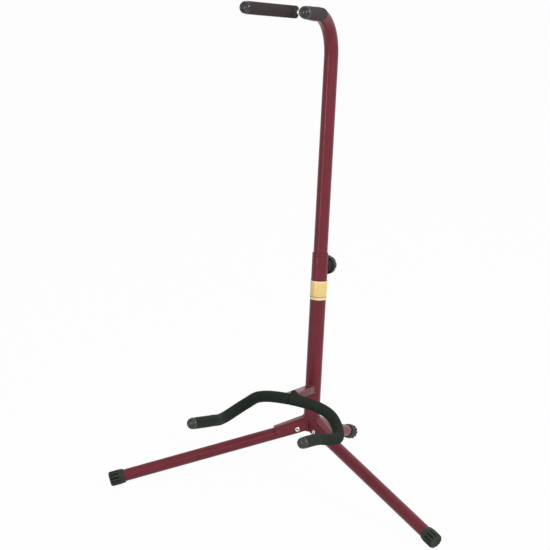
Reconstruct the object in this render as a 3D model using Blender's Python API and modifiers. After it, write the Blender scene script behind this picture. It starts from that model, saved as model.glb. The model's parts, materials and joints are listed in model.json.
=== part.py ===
"""A folding tripod guitar stand of painted steel tube.

A lower mast tube carries a hub of three pressed channels. Each channel holds one leg on a
hollow rivet, and each leg folds down until it lies along the mast. A bent upper mast tube
slides in the lower one and is held by a clamp knob at the back. A padded cradle holds the
guitar's body and a padded yoke at the top holds its neck.

The front of the stand faces -Y, +Z is up, and left and right are those of a person who
stands in front of it. All lengths are in metres.
"""

import math

import bmesh
import bpy
from mathutils import Matrix, Vector

MM = 0.001

# Fits and meshes
GAP = 0.3 * MM  # air between pieces that touch
WELD = 0.01 * MM  # vertices closer than this are one
ROUND_STEPS = 32  # sides of a turned piece
TUBE_SIDES = 24  # sides of the bent mast tube
FOAM_SIDES = 12  # sides of a foam sleeve
ROD_SIDES = 8  # sides of a bent rod
BEND_STEPS = 14  # straight pieces of the mast's bend
NOSE_STEPS = 12  # straight pieces of a leg tube's round inner end
CORNER_STEPS = 4  # straight pieces of a sheet's outer bend
INNER_CORNER_STEPS = 3  # and of its inner bend, and of a foot's rim
LEAST_BEND = 0.3 * MM  # the smallest inner bend of a sheet
SHARP_ANGLE = math.radians(35)  # edges steeper than this are shaded sharp

# Stance
HUB_HEIGHT = 89.5 * MM  # the point where the mast's and the legs' axes meet
MAST_LEAN = math.radians(6.8)  # the mast leans back
# Each leg's turn round the mast and its slope below the hub's own plane, in degrees
LEGS = {"rear": (90.0, 18.2), "left": (210.0, 17.3), "right": (330.0, 17.3)}

# Lower mast
MAST_RADIUS = 12.5 * MM
MAST_WALL = 1.1 * MM
MAST_BOTTOM = -9.5 * MM  # measured along the mast from the hub point, as are the next ones
MAST_TOP = 272.5 * MM
COLLAR_HEIGHT = 4.0 * MM
COLLAR_LIP = 0.5 * MM
LABEL_BOTTOM = 203.2 * MM
LABEL_HEIGHT = 30.0 * MM
LABEL_THICKNESS = 0.25 * MM
PLUG_FLANGE = 2.0 * MM
PLUG_DEPTH = 9.0 * MM

# Upper mast
SLIDE_GAP = 0.4 * MM  # between the two mast tubes
UPPER_RADIUS = MAST_RADIUS - MAST_WALL - SLIDE_GAP
UPPER_WALL = 1.2 * MM
UPPER_BOTTOM = 206.0 * MM
BEND_START = 581.3 * MM
BEND_RADIUS = 70.0 * MM
BEND_ANGLE = math.radians(85.8)
TOP_RUN = 46.0 * MM  # from the end of the bend to the axis of the yoke's rod

# Clamp at the back of the lower mast
CLAMP_HEIGHT = 252.8 * MM
BOLT_RADIUS = 4.0 * MM
BOSS_RADIUS = 7.5 * MM
BOSS_LENGTH = 8.0 * MM  # out from the mast's surface
BOSS_REACH = MAST_RADIUS + BOSS_LENGTH  # measured from the mast's axis
KNOB_LENGTH = 13.7 * MM
KNOB_BACK = BOSS_REACH + GAP + KNOB_LENGTH  # measured from the mast's axis
KNOB_RADIUS = 14.4 * MM
KNOB_LOBES = 8
KNOB_LOBE_DEPTH = 0.6 * MM
KNOB_LOBE_STEPS = 10
KNOB_RIM = 10.5 * MM
KNOB_NECK_RADIUS = 8.5 * MM
KNOB_BEVEL = 1.2 * MM
KNOB_BEVEL_ANGLE = math.radians(60)  # only steeper edges are rounded
KNOB_FLOOR = 3.2 * MM

# Legs, rivets and channels
LEG_RADIUS = 9.5 * MM
LEG_WALL = 1.2 * MM
LEG_SWING_GAP = 2.0 * MM  # between the mast and the leg's round inner end
PIVOT_REACH = MAST_RADIUS + LEG_SWING_GAP + LEG_RADIUS  # hub point to rivet, along the leg
CHANNEL_TAIL = 35.0 * MM  # rivet to the channel's outer end
CHANNEL_SHEET = 1.6 * MM
CHANNEL_SIDE_PLAY = 0.6 * MM
CHANNEL_BEND = 2.2 * MM
CHANNEL_FLANGE_DROP = 6.0 * MM  # how far a flange reaches below the leg's axis
SEAM_ANGLE = math.pi / 3  # from a channel's direction to its seam with the next one
RIVET_RADIUS = 3.0 * MM
RIVET_BORE = 1.6 * MM
RIVET_HEAD_RADIUS = 4.4 * MM
RIVET_HEAD_HEIGHT = 1.1 * MM

# Foot caps
FOOT_WALL = 2.3 * MM
FOOT_MOUTH_WALL = 1.5 * MM
FOOT_RADIUS = LEG_RADIUS + FOOT_WALL
FOOT_MOUTH_RADIUS = LEG_RADIUS + FOOT_MOUTH_WALL
FOOT_LENGTH = 24.0 * MM
FOOT_TAPER = 7.0 * MM
FOOT_FLOOR = 5.0 * MM
FOOT_EDGE = 2.4 * MM
FOOT_FLAT = 0.5 * MM  # depth of the flat that stands on the floor
FOOT_RIBS = 12
FOOT_GROOVE = (1.6 * MM, 0.6 * MM)  # width and depth
FOOT_LAND = 1.0 * MM  # plain rubber between the grooves and the rounded edge
FOOT_GROOVE_SPAN = (FOOT_TAPER, FOOT_LENGTH - FOOT_EDGE - FOOT_LAND)

# Cradle lug
LUG_ROOT_HEIGHT = 60.5 * MM  # on the mast's front, along the mast from the hub point
LUG_RISE = math.radians(4.7)  # above the hub's plane
LUG_REACH = 117.5 * MM  # mast axis to rod axis, along the lug
LUG_WIDTH = 16.0 * MM
LUG_DEPTH = 8.0 * MM
LUG_SHEET = 1.6 * MM
LUG_BEND = 2.0 * MM

# Padded rods
ROD_RADIUS = 4.0 * MM
FOAM_RADIUS = 8.8 * MM
END_CAP_RADIUS = 8.5 * MM
END_CAP_LENGTH = 5.0 * MM
END_CAP_FLOOR = 2.4 * MM
END_CAP_GROOVE = 0.9 * MM  # depth of the ring groove round its raised middle
END_CAP_GROOVE_SPAN = (0.28, 0.42, 0.62, 0.72)  # the groove's corners, as shares of the radius
END_CAP_EDGE = (0.9 * MM, 1.2 * MM)  # the slanted edge's width and height

# Half of the cradle rod, from the lug out to the right: right, back and up from the lug's end
CRADLE_ROUTE = (
    Vector((0, 0, 0)) * MM,
    Vector((45, 12.5, -10.5)) * MM,
    Vector((72.5, 21.5, -29)) * MM,
    Vector((96, -13.5, -44)) * MM,
    Vector((88, -70.5, -26)) * MM,
    Vector((91, -134.5, -7)) * MM,
)
ROUTE_STEPS = 5  # points of the smooth curve for each stretch of the route

# Neck yoke, in its own plane
YOKE_SLEEVE_GAP = 1.5 * MM  # bare rod between the mast tube's side and the foam
YOKE_SLEEVE_START = UPPER_RADIUS + YOKE_SLEEVE_GAP
YOKE_STRAIGHT = 1.5 * MM  # straight foam before the corner
YOKE_CORNER = 18.0 * MM
YOKE_BASE = YOKE_SLEEVE_START + YOKE_STRAIGHT + YOKE_CORNER  # half the width at the corners
YOKE_TIP = 48.5 * MM  # half the width at the tips
YOKE_DEPTH = 108.5 * MM
YOKE_CORNER_STEPS = 7
YOKE_PRONG_STEPS = 6
YOKE_LIFT = 2.0 * MM  # the rod's axis above the tube's axis

FLOOR_BLOCK = (2.0, 2.0, 0.6)  # a block under the floor that trims the feet


def clear_scene():
    """Remove every object of the open file."""
    for thing in list(bpy.data.objects):
        bpy.data.objects.remove(thing, do_unlink=True)


def add_collection(name):
    """Make a collection under the scene's own."""
    group = bpy.data.collections.new(name)
    bpy.context.scene.collection.children.link(group)
    return group


def finish(name, color, roughness, metallic=0.0):
    """Make a material from one Principled shader."""
    made = bpy.data.materials.new(name)
    made.use_nodes = True
    shader = made.node_tree.nodes["Principled BSDF"]
    shader.inputs["Base Color"].default_value = (*color, 1.0)
    shader.inputs["Roughness"].default_value = roughness
    shader.inputs["Metallic"].default_value = metallic
    made.diffuse_color = (*color, 1.0)
    return made


def add_frame(name, parent=None, location=(0, 0, 0), rotation=(0, 0, 0)):
    """Add an empty that other pieces are placed in."""
    frame = bpy.data.objects.new(name, None)
    GUIDES.objects.link(frame)
    frame.empty_display_size = 10 * MM
    frame.parent = parent
    frame.location = location
    frame.rotation_euler = rotation
    return frame


def add_piece(name, mesh, parent, material=None, location=(0, 0, 0), rotation=(0, 0, 0)):
    """Add a mesh object to the stand, or a cutter if it has no material."""
    piece = bpy.data.objects.new(name, mesh)
    piece.parent = parent
    piece.location = location
    piece.rotation_euler = rotation
    if material is None:
        GUIDES.objects.link(piece)
        piece.display_type = "WIRE"
        piece.hide_render = True
    else:
        STAND.objects.link(piece)
        mesh.materials.append(material)
        mesh.shade_smooth()
        mesh.set_sharp_from_angle(angle=SHARP_ANGLE)
    return piece


def cut(piece, *cutters):
    """Take the cutters away from the piece."""
    for cutter in cutters:
        step = piece.modifiers.new("cut_" + cutter.name, "BOOLEAN")
        step.object = cutter
        step.operation = "DIFFERENCE"
        step.solver = "EXACT"


def clean_mesh(mesh):
    """Weld a mesh and point its faces outwards."""
    work = bmesh.new()
    work.from_mesh(mesh)
    bmesh.ops.remove_doubles(work, verts=work.verts, dist=WELD)
    bmesh.ops.recalc_face_normals(work, faces=work.faces)
    work.to_mesh(mesh)
    work.free()
    return mesh


def mesh_of(shape):
    """Turn an object with live modifiers, or a curve object, into a mesh."""
    seen = shape.evaluated_get(bpy.context.evaluated_depsgraph_get())
    return bpy.data.meshes.new_from_object(seen)


def cylinder_mesh(name, radius, length, sides=ROUND_STEPS):
    """A closed cylinder along Z, centred on the origin."""
    mesh = bpy.data.meshes.new(name)
    work = bmesh.new()
    bmesh.ops.create_cone(work, cap_ends=True, segments=sides, radius1=radius, radius2=radius,
                          depth=length)
    work.to_mesh(mesh)
    work.free()
    return mesh


def box_mesh(name, size, middle=(0, 0, 0)):
    """A closed box with the given size and middle."""
    mesh = bpy.data.meshes.new(name)
    work = bmesh.new()
    bmesh.ops.create_cube(work, size=1.0)
    bmesh.ops.scale(work, vec=Vector(size), verts=work.verts)
    bmesh.ops.translate(work, vec=Vector(middle), verts=work.verts)
    work.to_mesh(mesh)
    work.free()
    return mesh


def turned_mesh(name, profile, closed=False, steps=ROUND_STEPS):
    """Turn a profile of (radius, height) round Z.

    The profile runs down the piece's outer side. An open one starts and ends on the axis.
    """
    outline = bpy.data.meshes.new(name + "_profile")
    points = [(radius, 0.0, height) for radius, height in profile]
    edges = [(i, i + 1) for i in range(len(points) - 1)]
    if closed:
        edges.append((len(points) - 1, 0))
    outline.from_pydata(points, edges, [])
    shape = bpy.data.objects.new(name + "_profile", outline)
    GUIDES.objects.link(shape)
    screw = shape.modifiers.new("turn", "SCREW")
    screw.steps = steps
    screw.render_steps = steps
    screw.use_merge_vertices = True
    screw.merge_threshold = WELD
    mesh = mesh_of(shape)
    mesh.name = name
    bpy.data.objects.remove(shape)
    return clean_mesh(mesh)


def tube_mesh(name, radius, wall, bottom, top, steps=ROUND_STEPS):
    """A straight open tube along Z."""
    bore = radius - wall
    return turned_mesh(name, [(radius, top), (radius, bottom), (bore, bottom), (bore, top)],
                       closed=True, steps=steps)


def plate_mesh(name, outline, thickness):
    """A flat outline in XY, thickened evenly about Z = 0."""
    curve = bpy.data.curves.new(name, "CURVE")
    curve.dimensions = "2D"
    curve.fill_mode = "BOTH"
    curve.extrude = thickness / 2
    spline = curve.splines.new("POLY")
    spline.points.add(len(outline) - 1)
    for point, (x, y) in zip(spline.points, outline):
        point.co = (x, y, 0, 1)
    spline.use_cyclic_u = True
    return curve_to_mesh(name, curve)


def swept_mesh(name, route, radius, sides, capped):
    """A round bar along a route, closed at its ends if it is capped."""
    curve = bpy.data.curves.new(name, "CURVE")
    curve.dimensions = "3D"
    curve.bevel_depth = radius
    curve.bevel_resolution = (sides - 4) // 2
    curve.use_fill_caps = capped
    spline = curve.splines.new("POLY")
    spline.points.add(len(route) - 1)
    for point, place in zip(spline.points, route):
        point.co = (*place, 1)
    return curve_to_mesh(name, curve)


def curve_to_mesh(name, curve):
    """Turn curve data into a welded mesh."""
    shape = bpy.data.objects.new(name, curve)
    GUIDES.objects.link(shape)
    mesh = mesh_of(shape)
    mesh.name = name
    bpy.data.objects.remove(shape)
    bpy.data.curves.remove(curve)
    return clean_mesh(mesh)


def add_wall(piece, thickness):
    """Give an open surface a wall on its inner side."""
    wall = piece.modifiers.new("wall", "SOLIDIFY")
    wall.thickness = thickness
    wall.offset = -1
    wall.use_even_offset = True


def arc_points(centre, radius, start, end, steps):
    """Points on an arc, from one angle to the other."""
    angles = [start + (end - start) * i / steps for i in range(steps + 1)]
    return [(centre[0] + radius * math.cos(a), centre[1] + radius * math.sin(a)) for a in angles]


def smooth_route(points, steps):
    """A Catmull-Rom curve through points, mirrored at its start and straight at its end."""
    padded = [*mirrored(points[1:2]), *points, 2 * points[-1] - points[-2]]
    route = []
    for i in range(len(points) - 1):
        a, b, c, d = padded[i:i + 4]
        for j in range(steps):
            t = j / steps
            place = (2 * b + (c - a) * t + (2 * a - 5 * b + 4 * c - d) * t * t
                     + (3 * b - a - 3 * c + d) * t * t * t) / 2
            route.append(place)
    route.append(points[-1].copy())
    return route


def mirrored(route):
    """The same route on the other side of X = 0."""
    return [Vector((-p.x, p.y, p.z)) for p in route]


def trimmed(route, length):
    """A route without its last stretch of the given length."""
    kept = list(route)
    left = length
    while (kept[-1] - kept[-2]).length <= left:
        left -= (kept[-1] - kept[-2]).length
        kept.pop()
    back = (kept[-2] - kept[-1]).normalized()
    kept[-1] = kept[-1] + back * left
    return kept


def channel_outline(half_width, top, bottom, sheet, bend):
    """The section of an upside-down U: a web on top and two flanges."""
    inner = half_width - sheet
    outer_arc = arc_points((half_width - bend, top - bend), bend, 0, math.pi / 2,
                           CORNER_STEPS)
    inner_bend = max(bend - sheet, LEAST_BEND)
    inner_arc = arc_points((inner - inner_bend, top - sheet - inner_bend), inner_bend,
                           math.pi / 2, 0, INNER_CORNER_STEPS)
    right = [(half_width, bottom), *outer_arc]
    right_inner = [*inner_arc, (inner, bottom)]
    left = [(-x, y) for x, y in reversed(right)]
    left_inner = [(-x, y) for x, y in reversed(right_inner)]
    return [*right, *left, *left_inner, *right_inner]


ALONG_X = (math.pi / 2, 0, math.pi / 2)  # turns a plate's X, Y, Z to Y, Z, X
Z_TO_X = (0, math.pi / 2, 0)
Z_TO_Y = (-math.pi / 2, 0, 0)


def build_lower_mast(hub):
    """The fixed tube, its plug, its collar and its bare label band."""
    tube = add_piece("lower_mast_tube",
                     tube_mesh("lower_mast_tube", MAST_RADIUS, MAST_WALL, MAST_BOTTOM, MAST_TOP),
                     hub, PAINT)
    bolt_hole = add_piece("bolt_hole", cylinder_mesh("bolt_hole", BOLT_RADIUS + GAP, MAST_RADIUS),
                          hub, None, (0, MAST_RADIUS, CLAMP_HEIGHT), Z_TO_Y)
    cut(tube, bolt_hole)

    bore = MAST_RADIUS - MAST_WALL
    seat = MAST_BOTTOM - GAP
    add_piece("mast_bottom_plug", turned_mesh("mast_bottom_plug", [
        (0, seat + PLUG_DEPTH), (bore - GAP, seat + PLUG_DEPTH), (bore - GAP, seat),
        (MAST_RADIUS, seat), (MAST_RADIUS, seat - PLUG_FLANGE), (0, seat - PLUG_FLANGE),
    ]), hub, BLACK_PLASTIC)

    foot = MAST_TOP + GAP
    inner = UPPER_RADIUS + GAP
    outer = MAST_RADIUS + COLLAR_LIP
    edge = COLLAR_LIP
    add_piece("mast_collar", turned_mesh("mast_collar", [
        (inner, foot + COLLAR_HEIGHT), (outer - edge, foot + COLLAR_HEIGHT),
        (outer, foot + COLLAR_HEIGHT - edge), (outer, foot), (inner, foot),
    ], closed=True), hub, PAINT)

    add_piece("label_band", tube_mesh(
        "label_band", MAST_RADIUS + GAP + LABEL_THICKNESS, LABEL_THICKNESS,
        LABEL_BOTTOM, LABEL_BOTTOM + LABEL_HEIGHT), hub, LABEL)


def build_clamp(hub):
    """The boss on the mast's back, the bolt and the knob. Z points away from the mast."""
    clamp = add_frame("clamp_axis", hub, (0, 0, CLAMP_HEIGHT), Z_TO_Y)
    boss = add_piece("clamp_boss", tube_mesh(
        "clamp_boss", BOSS_RADIUS, BOSS_RADIUS - BOLT_RADIUS - GAP, MAST_RADIUS / 2, BOSS_REACH,
        TUBE_SIDES), clamp, PAINT)
    seat = add_piece("boss_seat", cylinder_mesh("boss_seat", MAST_RADIUS + GAP, 6 * BOSS_RADIUS),
                     hub, None, (0, 0, CLAMP_HEIGHT))
    cut(boss, seat)

    tip = UPPER_RADIUS + GAP
    head = KNOB_BACK - KNOB_FLOOR - GAP
    add_piece("clamp_bolt", cylinder_mesh("clamp_bolt", BOLT_RADIUS, head - tip, TUBE_SIDES),
              clamp, STEEL, (0, 0, (head + tip) / 2))

    count = KNOB_LOBES * KNOB_LOBE_STEPS
    outline = []
    for i in range(count):
        angle = 2 * math.pi * i / count
        reach = KNOB_RADIUS + KNOB_LOBE_DEPTH * math.cos(KNOB_LOBES * angle)
        outline.append((reach * math.cos(angle), reach * math.sin(angle)))
    rim = add_piece("clamp_knob", plate_mesh("clamp_knob", outline, KNOB_RIM), clamp,
                    BLACK_PLASTIC, (0, 0, KNOB_BACK - KNOB_RIM / 2))
    bevel = rim.modifiers.new("rounded_edge", "BEVEL")
    bevel.width = KNOB_BEVEL
    bevel.segments = 2
    bevel.limit_method = "ANGLE"
    bevel.angle_limit = KNOB_BEVEL_ANGLE
    neck_length = KNOB_BACK - KNOB_RIM / 2 - BOSS_REACH - GAP
    neck = add_piece("knob_neck", cylinder_mesh("knob_neck", KNOB_NECK_RADIUS, neck_length,
                                                TUBE_SIDES),
                     clamp, None, (0, 0, BOSS_REACH + GAP + neck_length / 2))
    join = rim.modifiers.new("neck", "BOOLEAN")
    join.object = neck
    join.operation = "UNION"
    bore_end = KNOB_BACK - KNOB_FLOOR
    bore = add_piece("knob_bore", cylinder_mesh("knob_bore", BOLT_RADIUS + GAP, bore_end,
                                                TUBE_SIDES),
                     clamp, None, (0, 0, bore_end / 2))
    cut(rim, bore)


def build_channel(side, turn, pivot, mast_space):
    """One pressed channel of the hub. X points out along the leg and Z is up."""
    half_width = LEG_RADIUS + CHANNEL_SIDE_PLAY + CHANNEL_SHEET
    top = LEG_RADIUS + GAP + CHANNEL_SHEET
    outline = channel_outline(half_width, top, -CHANNEL_FLANGE_DROP, CHANNEL_SHEET, CHANNEL_BEND)
    name = side + "_leg_channel"
    length = PIVOT_REACH + CHANNEL_TAIL
    channel = add_piece(name, plate_mesh(name, outline, length), pivot, PAINT,
                        (CHANNEL_TAIL - length / 2, 0, 0), ALONG_X)
    cut(channel, mast_space)

    block = 4 * half_width
    for sign in (1, -1):
        seam = add_piece(side + "_channel_seam", box_mesh(
            side + "_channel_seam", (block * 2, block, block * 2),
            (0, sign * (block - GAP) / 2, 0)), turn, None, (0, 0, 0),
            (0, 0, sign * SEAM_ANGLE))
        cut(channel, seam)

    hole = add_piece(side + "_channel_hole", cylinder_mesh(
        side + "_channel_hole", RIVET_RADIUS + GAP, 3 * half_width, TUBE_SIDES),
        pivot, None, (0, 0, 0), Z_TO_Y)
    cut(channel, hole)

    head = half_width + GAP
    outside = head + RIVET_HEAD_HEIGHT
    half = [(RIVET_BORE, outside), (RIVET_HEAD_RADIUS - RIVET_HEAD_HEIGHT / 2, outside),
            (RIVET_HEAD_RADIUS, outside - RIVET_HEAD_HEIGHT / 2), (RIVET_HEAD_RADIUS, head),
            (RIVET_RADIUS, head)]
    other_half = [(radius, -height) for radius, height in reversed(half)]
    rivet_name = side + "_leg_rivet"
    add_piece(rivet_name, turned_mesh(rivet_name, [*half, *other_half], closed=True,
                                      steps=TUBE_SIDES), pivot, STEEL, (0, 0, 0), Z_TO_Y)
    return hole


def build_leg(side, pivot, rivet_hole, reach, floor_block):
    """A leg tube and its ribbed rubber foot. X points out along the leg."""
    outer_end = reach - PIVOT_REACH
    tube_end = outer_end - FOOT_FLOOR - GAP
    name = side + "_leg_tube"
    tube = add_piece(name, tube_mesh(name, LEG_RADIUS, LEG_WALL, -LEG_RADIUS, tube_end),
                     pivot, PAINT, (0, 0, 0), Z_TO_X)
    room = 2 * LEG_RADIUS
    nose = LEG_RADIUS - GAP
    outline = [(0, room),
               *arc_points((0, 0), nose, math.pi / 2, 3 * math.pi / 2, NOSE_STEPS),
               (0, -room), (-room, -room), (-room, room)]
    corner = add_piece(side + "_leg_nose", plate_mesh(side + "_leg_nose", outline, 2 * room),
                       pivot, None, (0, 0, 0), (math.pi / 2, 0, 0))
    cut(tube, corner, rivet_hole)

    name = side + "_foot_cap"
    bore = LEG_RADIUS + GAP
    length = FOOT_LENGTH
    rim = arc_points((FOOT_RADIUS - FOOT_EDGE, length - FOOT_EDGE), FOOT_EDGE,
                     math.pi / 2, 0, INNER_CORNER_STEPS)
    foot = add_piece(name, turned_mesh(name, [
        (0, length), *rim, (FOOT_RADIUS, FOOT_TAPER), (FOOT_MOUTH_RADIUS, 0), (bore, 0),
        (bore, length - FOOT_FLOOR), (0, length - FOOT_FLOOR),
    ], steps=3 * FOOT_RIBS), pivot, RUBBER, (outer_end - length, 0, 0), Z_TO_X)
    cut(foot, groove_ring(side, pivot, outer_end - length), floor_block)


def groove_ring(side, pivot, start):
    """The grooves between a foot cap's ribs, as one cutter."""
    width, depth = FOOT_GROOVE
    low, high = FOOT_GROOVE_SPAN
    work = bmesh.new()
    for i in range(FOOT_RIBS):
        made = bmesh.ops.create_cube(work, size=1.0)["verts"]
        bmesh.ops.scale(work, vec=(2 * depth, width, high - low), verts=made)
        bmesh.ops.translate(work, vec=(FOOT_RADIUS, 0, (high + low) / 2), verts=made)
        angle = 2 * math.pi * (i + 0.5) / FOOT_RIBS
        bmesh.ops.rotate(work, verts=made, matrix=Matrix.Rotation(angle, 3, "Z"))
    mesh = bpy.data.meshes.new(side + "_foot_grooves")
    work.to_mesh(mesh)
    work.free()
    return add_piece(side + "_foot_grooves", mesh, pivot, None, (start, 0, 0), Z_TO_X)


def leg_reach(turn, drop):
    """Hub point to the end of a foot cap that stands on the floor, along the leg."""
    slope = (math.cos(drop) * math.sin(turn) * math.sin(MAST_LEAN)
             + math.sin(drop) * math.cos(MAST_LEAN))
    level = math.sqrt(1 - slope * slope)
    lowest = FOOT_RADIUS * level - FOOT_EDGE * (level + slope - 1)
    return (HUB_HEIGHT - lowest + FOOT_FLAT) / slope


def build_legs(hub, floor_block):
    """The three channels with their rivets, legs and feet."""
    mast_space = add_piece("mast_space", cylinder_mesh(
        "mast_space", MAST_RADIUS + GAP, 8 * MAST_RADIUS), hub, None)
    for side, (turn_degrees, drop_degrees) in LEGS.items():
        turn = math.radians(turn_degrees)
        drop = math.radians(drop_degrees)
        outward = add_frame(side + "_leg_turn", hub, (0, 0, 0), (0, 0, turn))
        place = (PIVOT_REACH * math.cos(drop), 0, -PIVOT_REACH * math.sin(drop))
        pivot = add_frame(side + "_leg_pivot", outward, place, (0, drop, 0))
        hole = build_channel(side, outward, pivot, mast_space)
        build_leg(side, pivot, hole, leg_reach(turn, drop), floor_block)


def end_cap_mesh(name):
    """A pushed-on rod cap: a rim, a groove and a raised middle. Z points off the rod."""
    rim = END_CAP_RADIUS
    top = END_CAP_LENGTH
    bore = ROD_RADIUS + GAP
    middle, groove_start, groove_end, ring = [rim * share for share in END_CAP_GROOVE_SPAN]
    edge_width, edge_height = END_CAP_EDGE
    return turned_mesh(name, [
        (0, top), (middle, top), (groove_start, top - END_CAP_GROOVE),
        (groove_end, top - END_CAP_GROOVE), (ring, top), (rim - edge_width, top),
        (rim, top - edge_height), (rim, 0), (bore, 0), (bore, top - END_CAP_FLOOR),
        (0, top - END_CAP_FLOOR),
    ], steps=TUBE_SIDES)


def build_padded_rod(rod_name, sleeve_name, cap_name, half_route, frame, sleeve_start,
                     slot=None):
    """A bent rod with a foam sleeve and an end cap on each side of its middle."""
    right = trimmed(half_route, END_CAP_FLOOR + GAP)
    whole = [*reversed(mirrored(right)), *right[1:]]
    add_piece(rod_name, swept_mesh(rod_name, whole, ROD_RADIUS, ROD_SIDES, True), frame, STEEL)

    square_end = [Vector((sleeve_start, 0, 0)), Vector((sleeve_start + MM, 0, 0))]
    foam = [p for p in trimmed(half_route, END_CAP_LENGTH + GAP) if p.x > square_end[1].x]
    foam = [*square_end, *foam]
    foam_flats = FOAM_RADIUS * math.cos(math.pi / FOAM_SIDES)
    cap_axis = (half_route[-1] - half_route[-2]).normalized()
    seat = half_route[-1] - cap_axis * END_CAP_LENGTH
    for side, sign in (("right", 1), ("left", -1)):
        route = foam if sign > 0 else mirrored(foam)
        name = side + "_" + sleeve_name
        sleeve = add_piece(name, swept_mesh(name, route, FOAM_RADIUS, FOAM_SIDES, False),
                           frame, FOAM)
        add_wall(sleeve, foam_flats - ROD_RADIUS - GAP)
        if slot is not None:
            cut(sleeve, slot)
        name = side + "_" + cap_name
        axis = Vector((sign * cap_axis.x, cap_axis.y, cap_axis.z))
        place = Vector((sign * seat.x, seat.y, seat.z))
        cap = add_piece(name, end_cap_mesh(name), frame, GLOSS_PLASTIC, place)
        cap.rotation_euler = axis.to_track_quat("Z", "Y").to_euler()


def build_cradle(hub):
    """The lug on the mast's front and the padded rod that it carries."""
    root = add_frame("lug_axis", hub, (0, 0, LUG_ROOT_HEIGHT - MAST_RADIUS * math.tan(LUG_RISE)),
                     (-LUG_RISE, 0, 0))
    length = LUG_REACH - ROD_RADIUS / 2
    outline = channel_outline(LUG_WIDTH / 2, LUG_DEPTH / 2, -LUG_DEPTH / 2, LUG_SHEET, LUG_BEND)
    lug = add_piece("cradle_lug", plate_mesh("cradle_lug", outline, length), root, PAINT,
                    (0, -length / 2, 0), (math.pi / 2, 0, 0))
    mast_space = add_piece("lug_seat", cylinder_mesh("lug_seat", MAST_RADIUS + GAP,
                                                     8 * LUG_DEPTH),
                           hub, None, (0, 0, LUG_ROOT_HEIGHT))
    end = add_frame("cradle_frame", root, (0, -LUG_REACH, 0), (LUG_RISE + MAST_LEAN, 0, 0))
    route = smooth_route(list(CRADLE_ROUTE), ROUTE_STEPS)
    near = [p for p in route if p.x < 2 * LUG_WIDTH]
    rod_space = add_piece("rod_space", swept_mesh(
        "rod_space", [*reversed(mirrored(near)), *near[1:]], ROD_RADIUS + GAP, ROD_SIDES, True),
        end, None)
    cut(lug, mast_space, rod_space)
    slot = add_piece("sleeve_slot", box_mesh(
        "sleeve_slot", (LUG_WIDTH + 2 * GAP, length + 2 * GAP, LUG_DEPTH + 2 * GAP),
        (0, -length / 2, 0)), root, None)
    build_padded_rod("cradle_rod", "cradle_sleeve", "cradle_cap", route, end, GAP, slot)


def yoke_route():
    """Half of the yoke rod: out from the middle, round the corner and forward."""
    run = YOKE_DEPTH - YOKE_CORNER
    flare = math.atan2(YOKE_TIP - YOKE_BASE, run)
    middle = (YOKE_BASE - YOKE_CORNER, -YOKE_CORNER)
    corner = arc_points(middle, YOKE_CORNER, math.pi / 2, flare, YOKE_CORNER_STEPS)
    last = corner[-1]
    prong = (YOKE_DEPTH + last[1]) / math.cos(flare)
    route = [Vector((0, 0, 0)), Vector((YOKE_SLEEVE_START / 2, 0, 0))]
    route += [Vector((x, y, 0)) for x, y in corner]
    for i in range(1, YOKE_PRONG_STEPS + 1):
        gone = prong * i / YOKE_PRONG_STEPS
        route.append(Vector((last[0] + gone * math.sin(flare), last[1] - gone * math.cos(flare),
                             0)))
    return route


def build_upper_mast(hub):
    """The bent tube that slides in the lower one, and the neck yoke at its end."""
    bend_middle = (-BEND_RADIUS, BEND_START)
    bend = arc_points(bend_middle, BEND_RADIUS, 0, BEND_ANGLE, BEND_STEPS)
    end = bend[-1]
    heading = Vector((0, -math.sin(BEND_ANGLE), math.cos(BEND_ANGLE)))
    yoke_place = Vector((0, *end)) + heading * TOP_RUN
    tube_end = yoke_place - heading * (ROD_RADIUS + GAP)
    route = [Vector((0, 0, UPPER_BOTTOM)), *[Vector((0, y, z)) for y, z in bend], tube_end]
    tube = add_piece("upper_mast_tube", swept_mesh("upper_mast_tube", route, UPPER_RADIUS,
                                                   TUBE_SIDES, False), hub, PAINT)
    add_wall(tube, UPPER_WALL)

    mouth = add_frame("mouth_frame", hub, yoke_place, (BEND_ANGLE - math.pi / 2, 0, 0))
    plug_radius = UPPER_RADIUS - UPPER_WALL - GAP
    add_piece("neck_tube_plug", cylinder_mesh("neck_tube_plug", plug_radius, PLUG_DEPTH,
                                              TUBE_SIDES), mouth, BLACK_PLASTIC,
              (0, ROD_RADIUS + GAP + PLUG_DEPTH / 2, 0), Z_TO_Y)
    yoke = add_frame("yoke_frame", mouth, (0, 0, YOKE_LIFT))
    build_padded_rod("neck_yoke_rod", "neck_sleeve", "neck_cap", yoke_route(), yoke,
                     YOKE_SLEEVE_START)


def middle_of_stand():
    """The middle of the stand's box, seen from above."""
    bpy.context.view_layer.update()
    depsgraph = bpy.context.evaluated_depsgraph_get()
    corners = []
    for piece in STAND.objects:
        seen = piece.evaluated_get(depsgraph)
        corners += [piece.matrix_world @ v.co for v in seen.data.vertices]
    xs = [c.x for c in corners]
    ys = [c.y for c in corners]
    return (min(xs) + max(xs)) / 2, (min(ys) + max(ys)) / 2


def build_stand():
    """Build every piece, and put the origin on the floor under the middle of the box."""
    base = add_frame("stand_base")
    floor_block = add_piece("floor_block", box_mesh("floor_block", FLOOR_BLOCK,
                                                    (0, 0, -FLOOR_BLOCK[2] / 2)), base)
    hub = add_frame("hub_axis", base, (0, 0, HUB_HEIGHT), (-MAST_LEAN, 0, 0))
    build_lower_mast(hub)
    build_clamp(hub)
    build_legs(hub, floor_block)
    build_cradle(hub)
    build_upper_mast(hub)
    x, y = middle_of_stand()
    base.location = (-x, -y, 0)
    bpy.context.view_layer.update()


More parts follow.
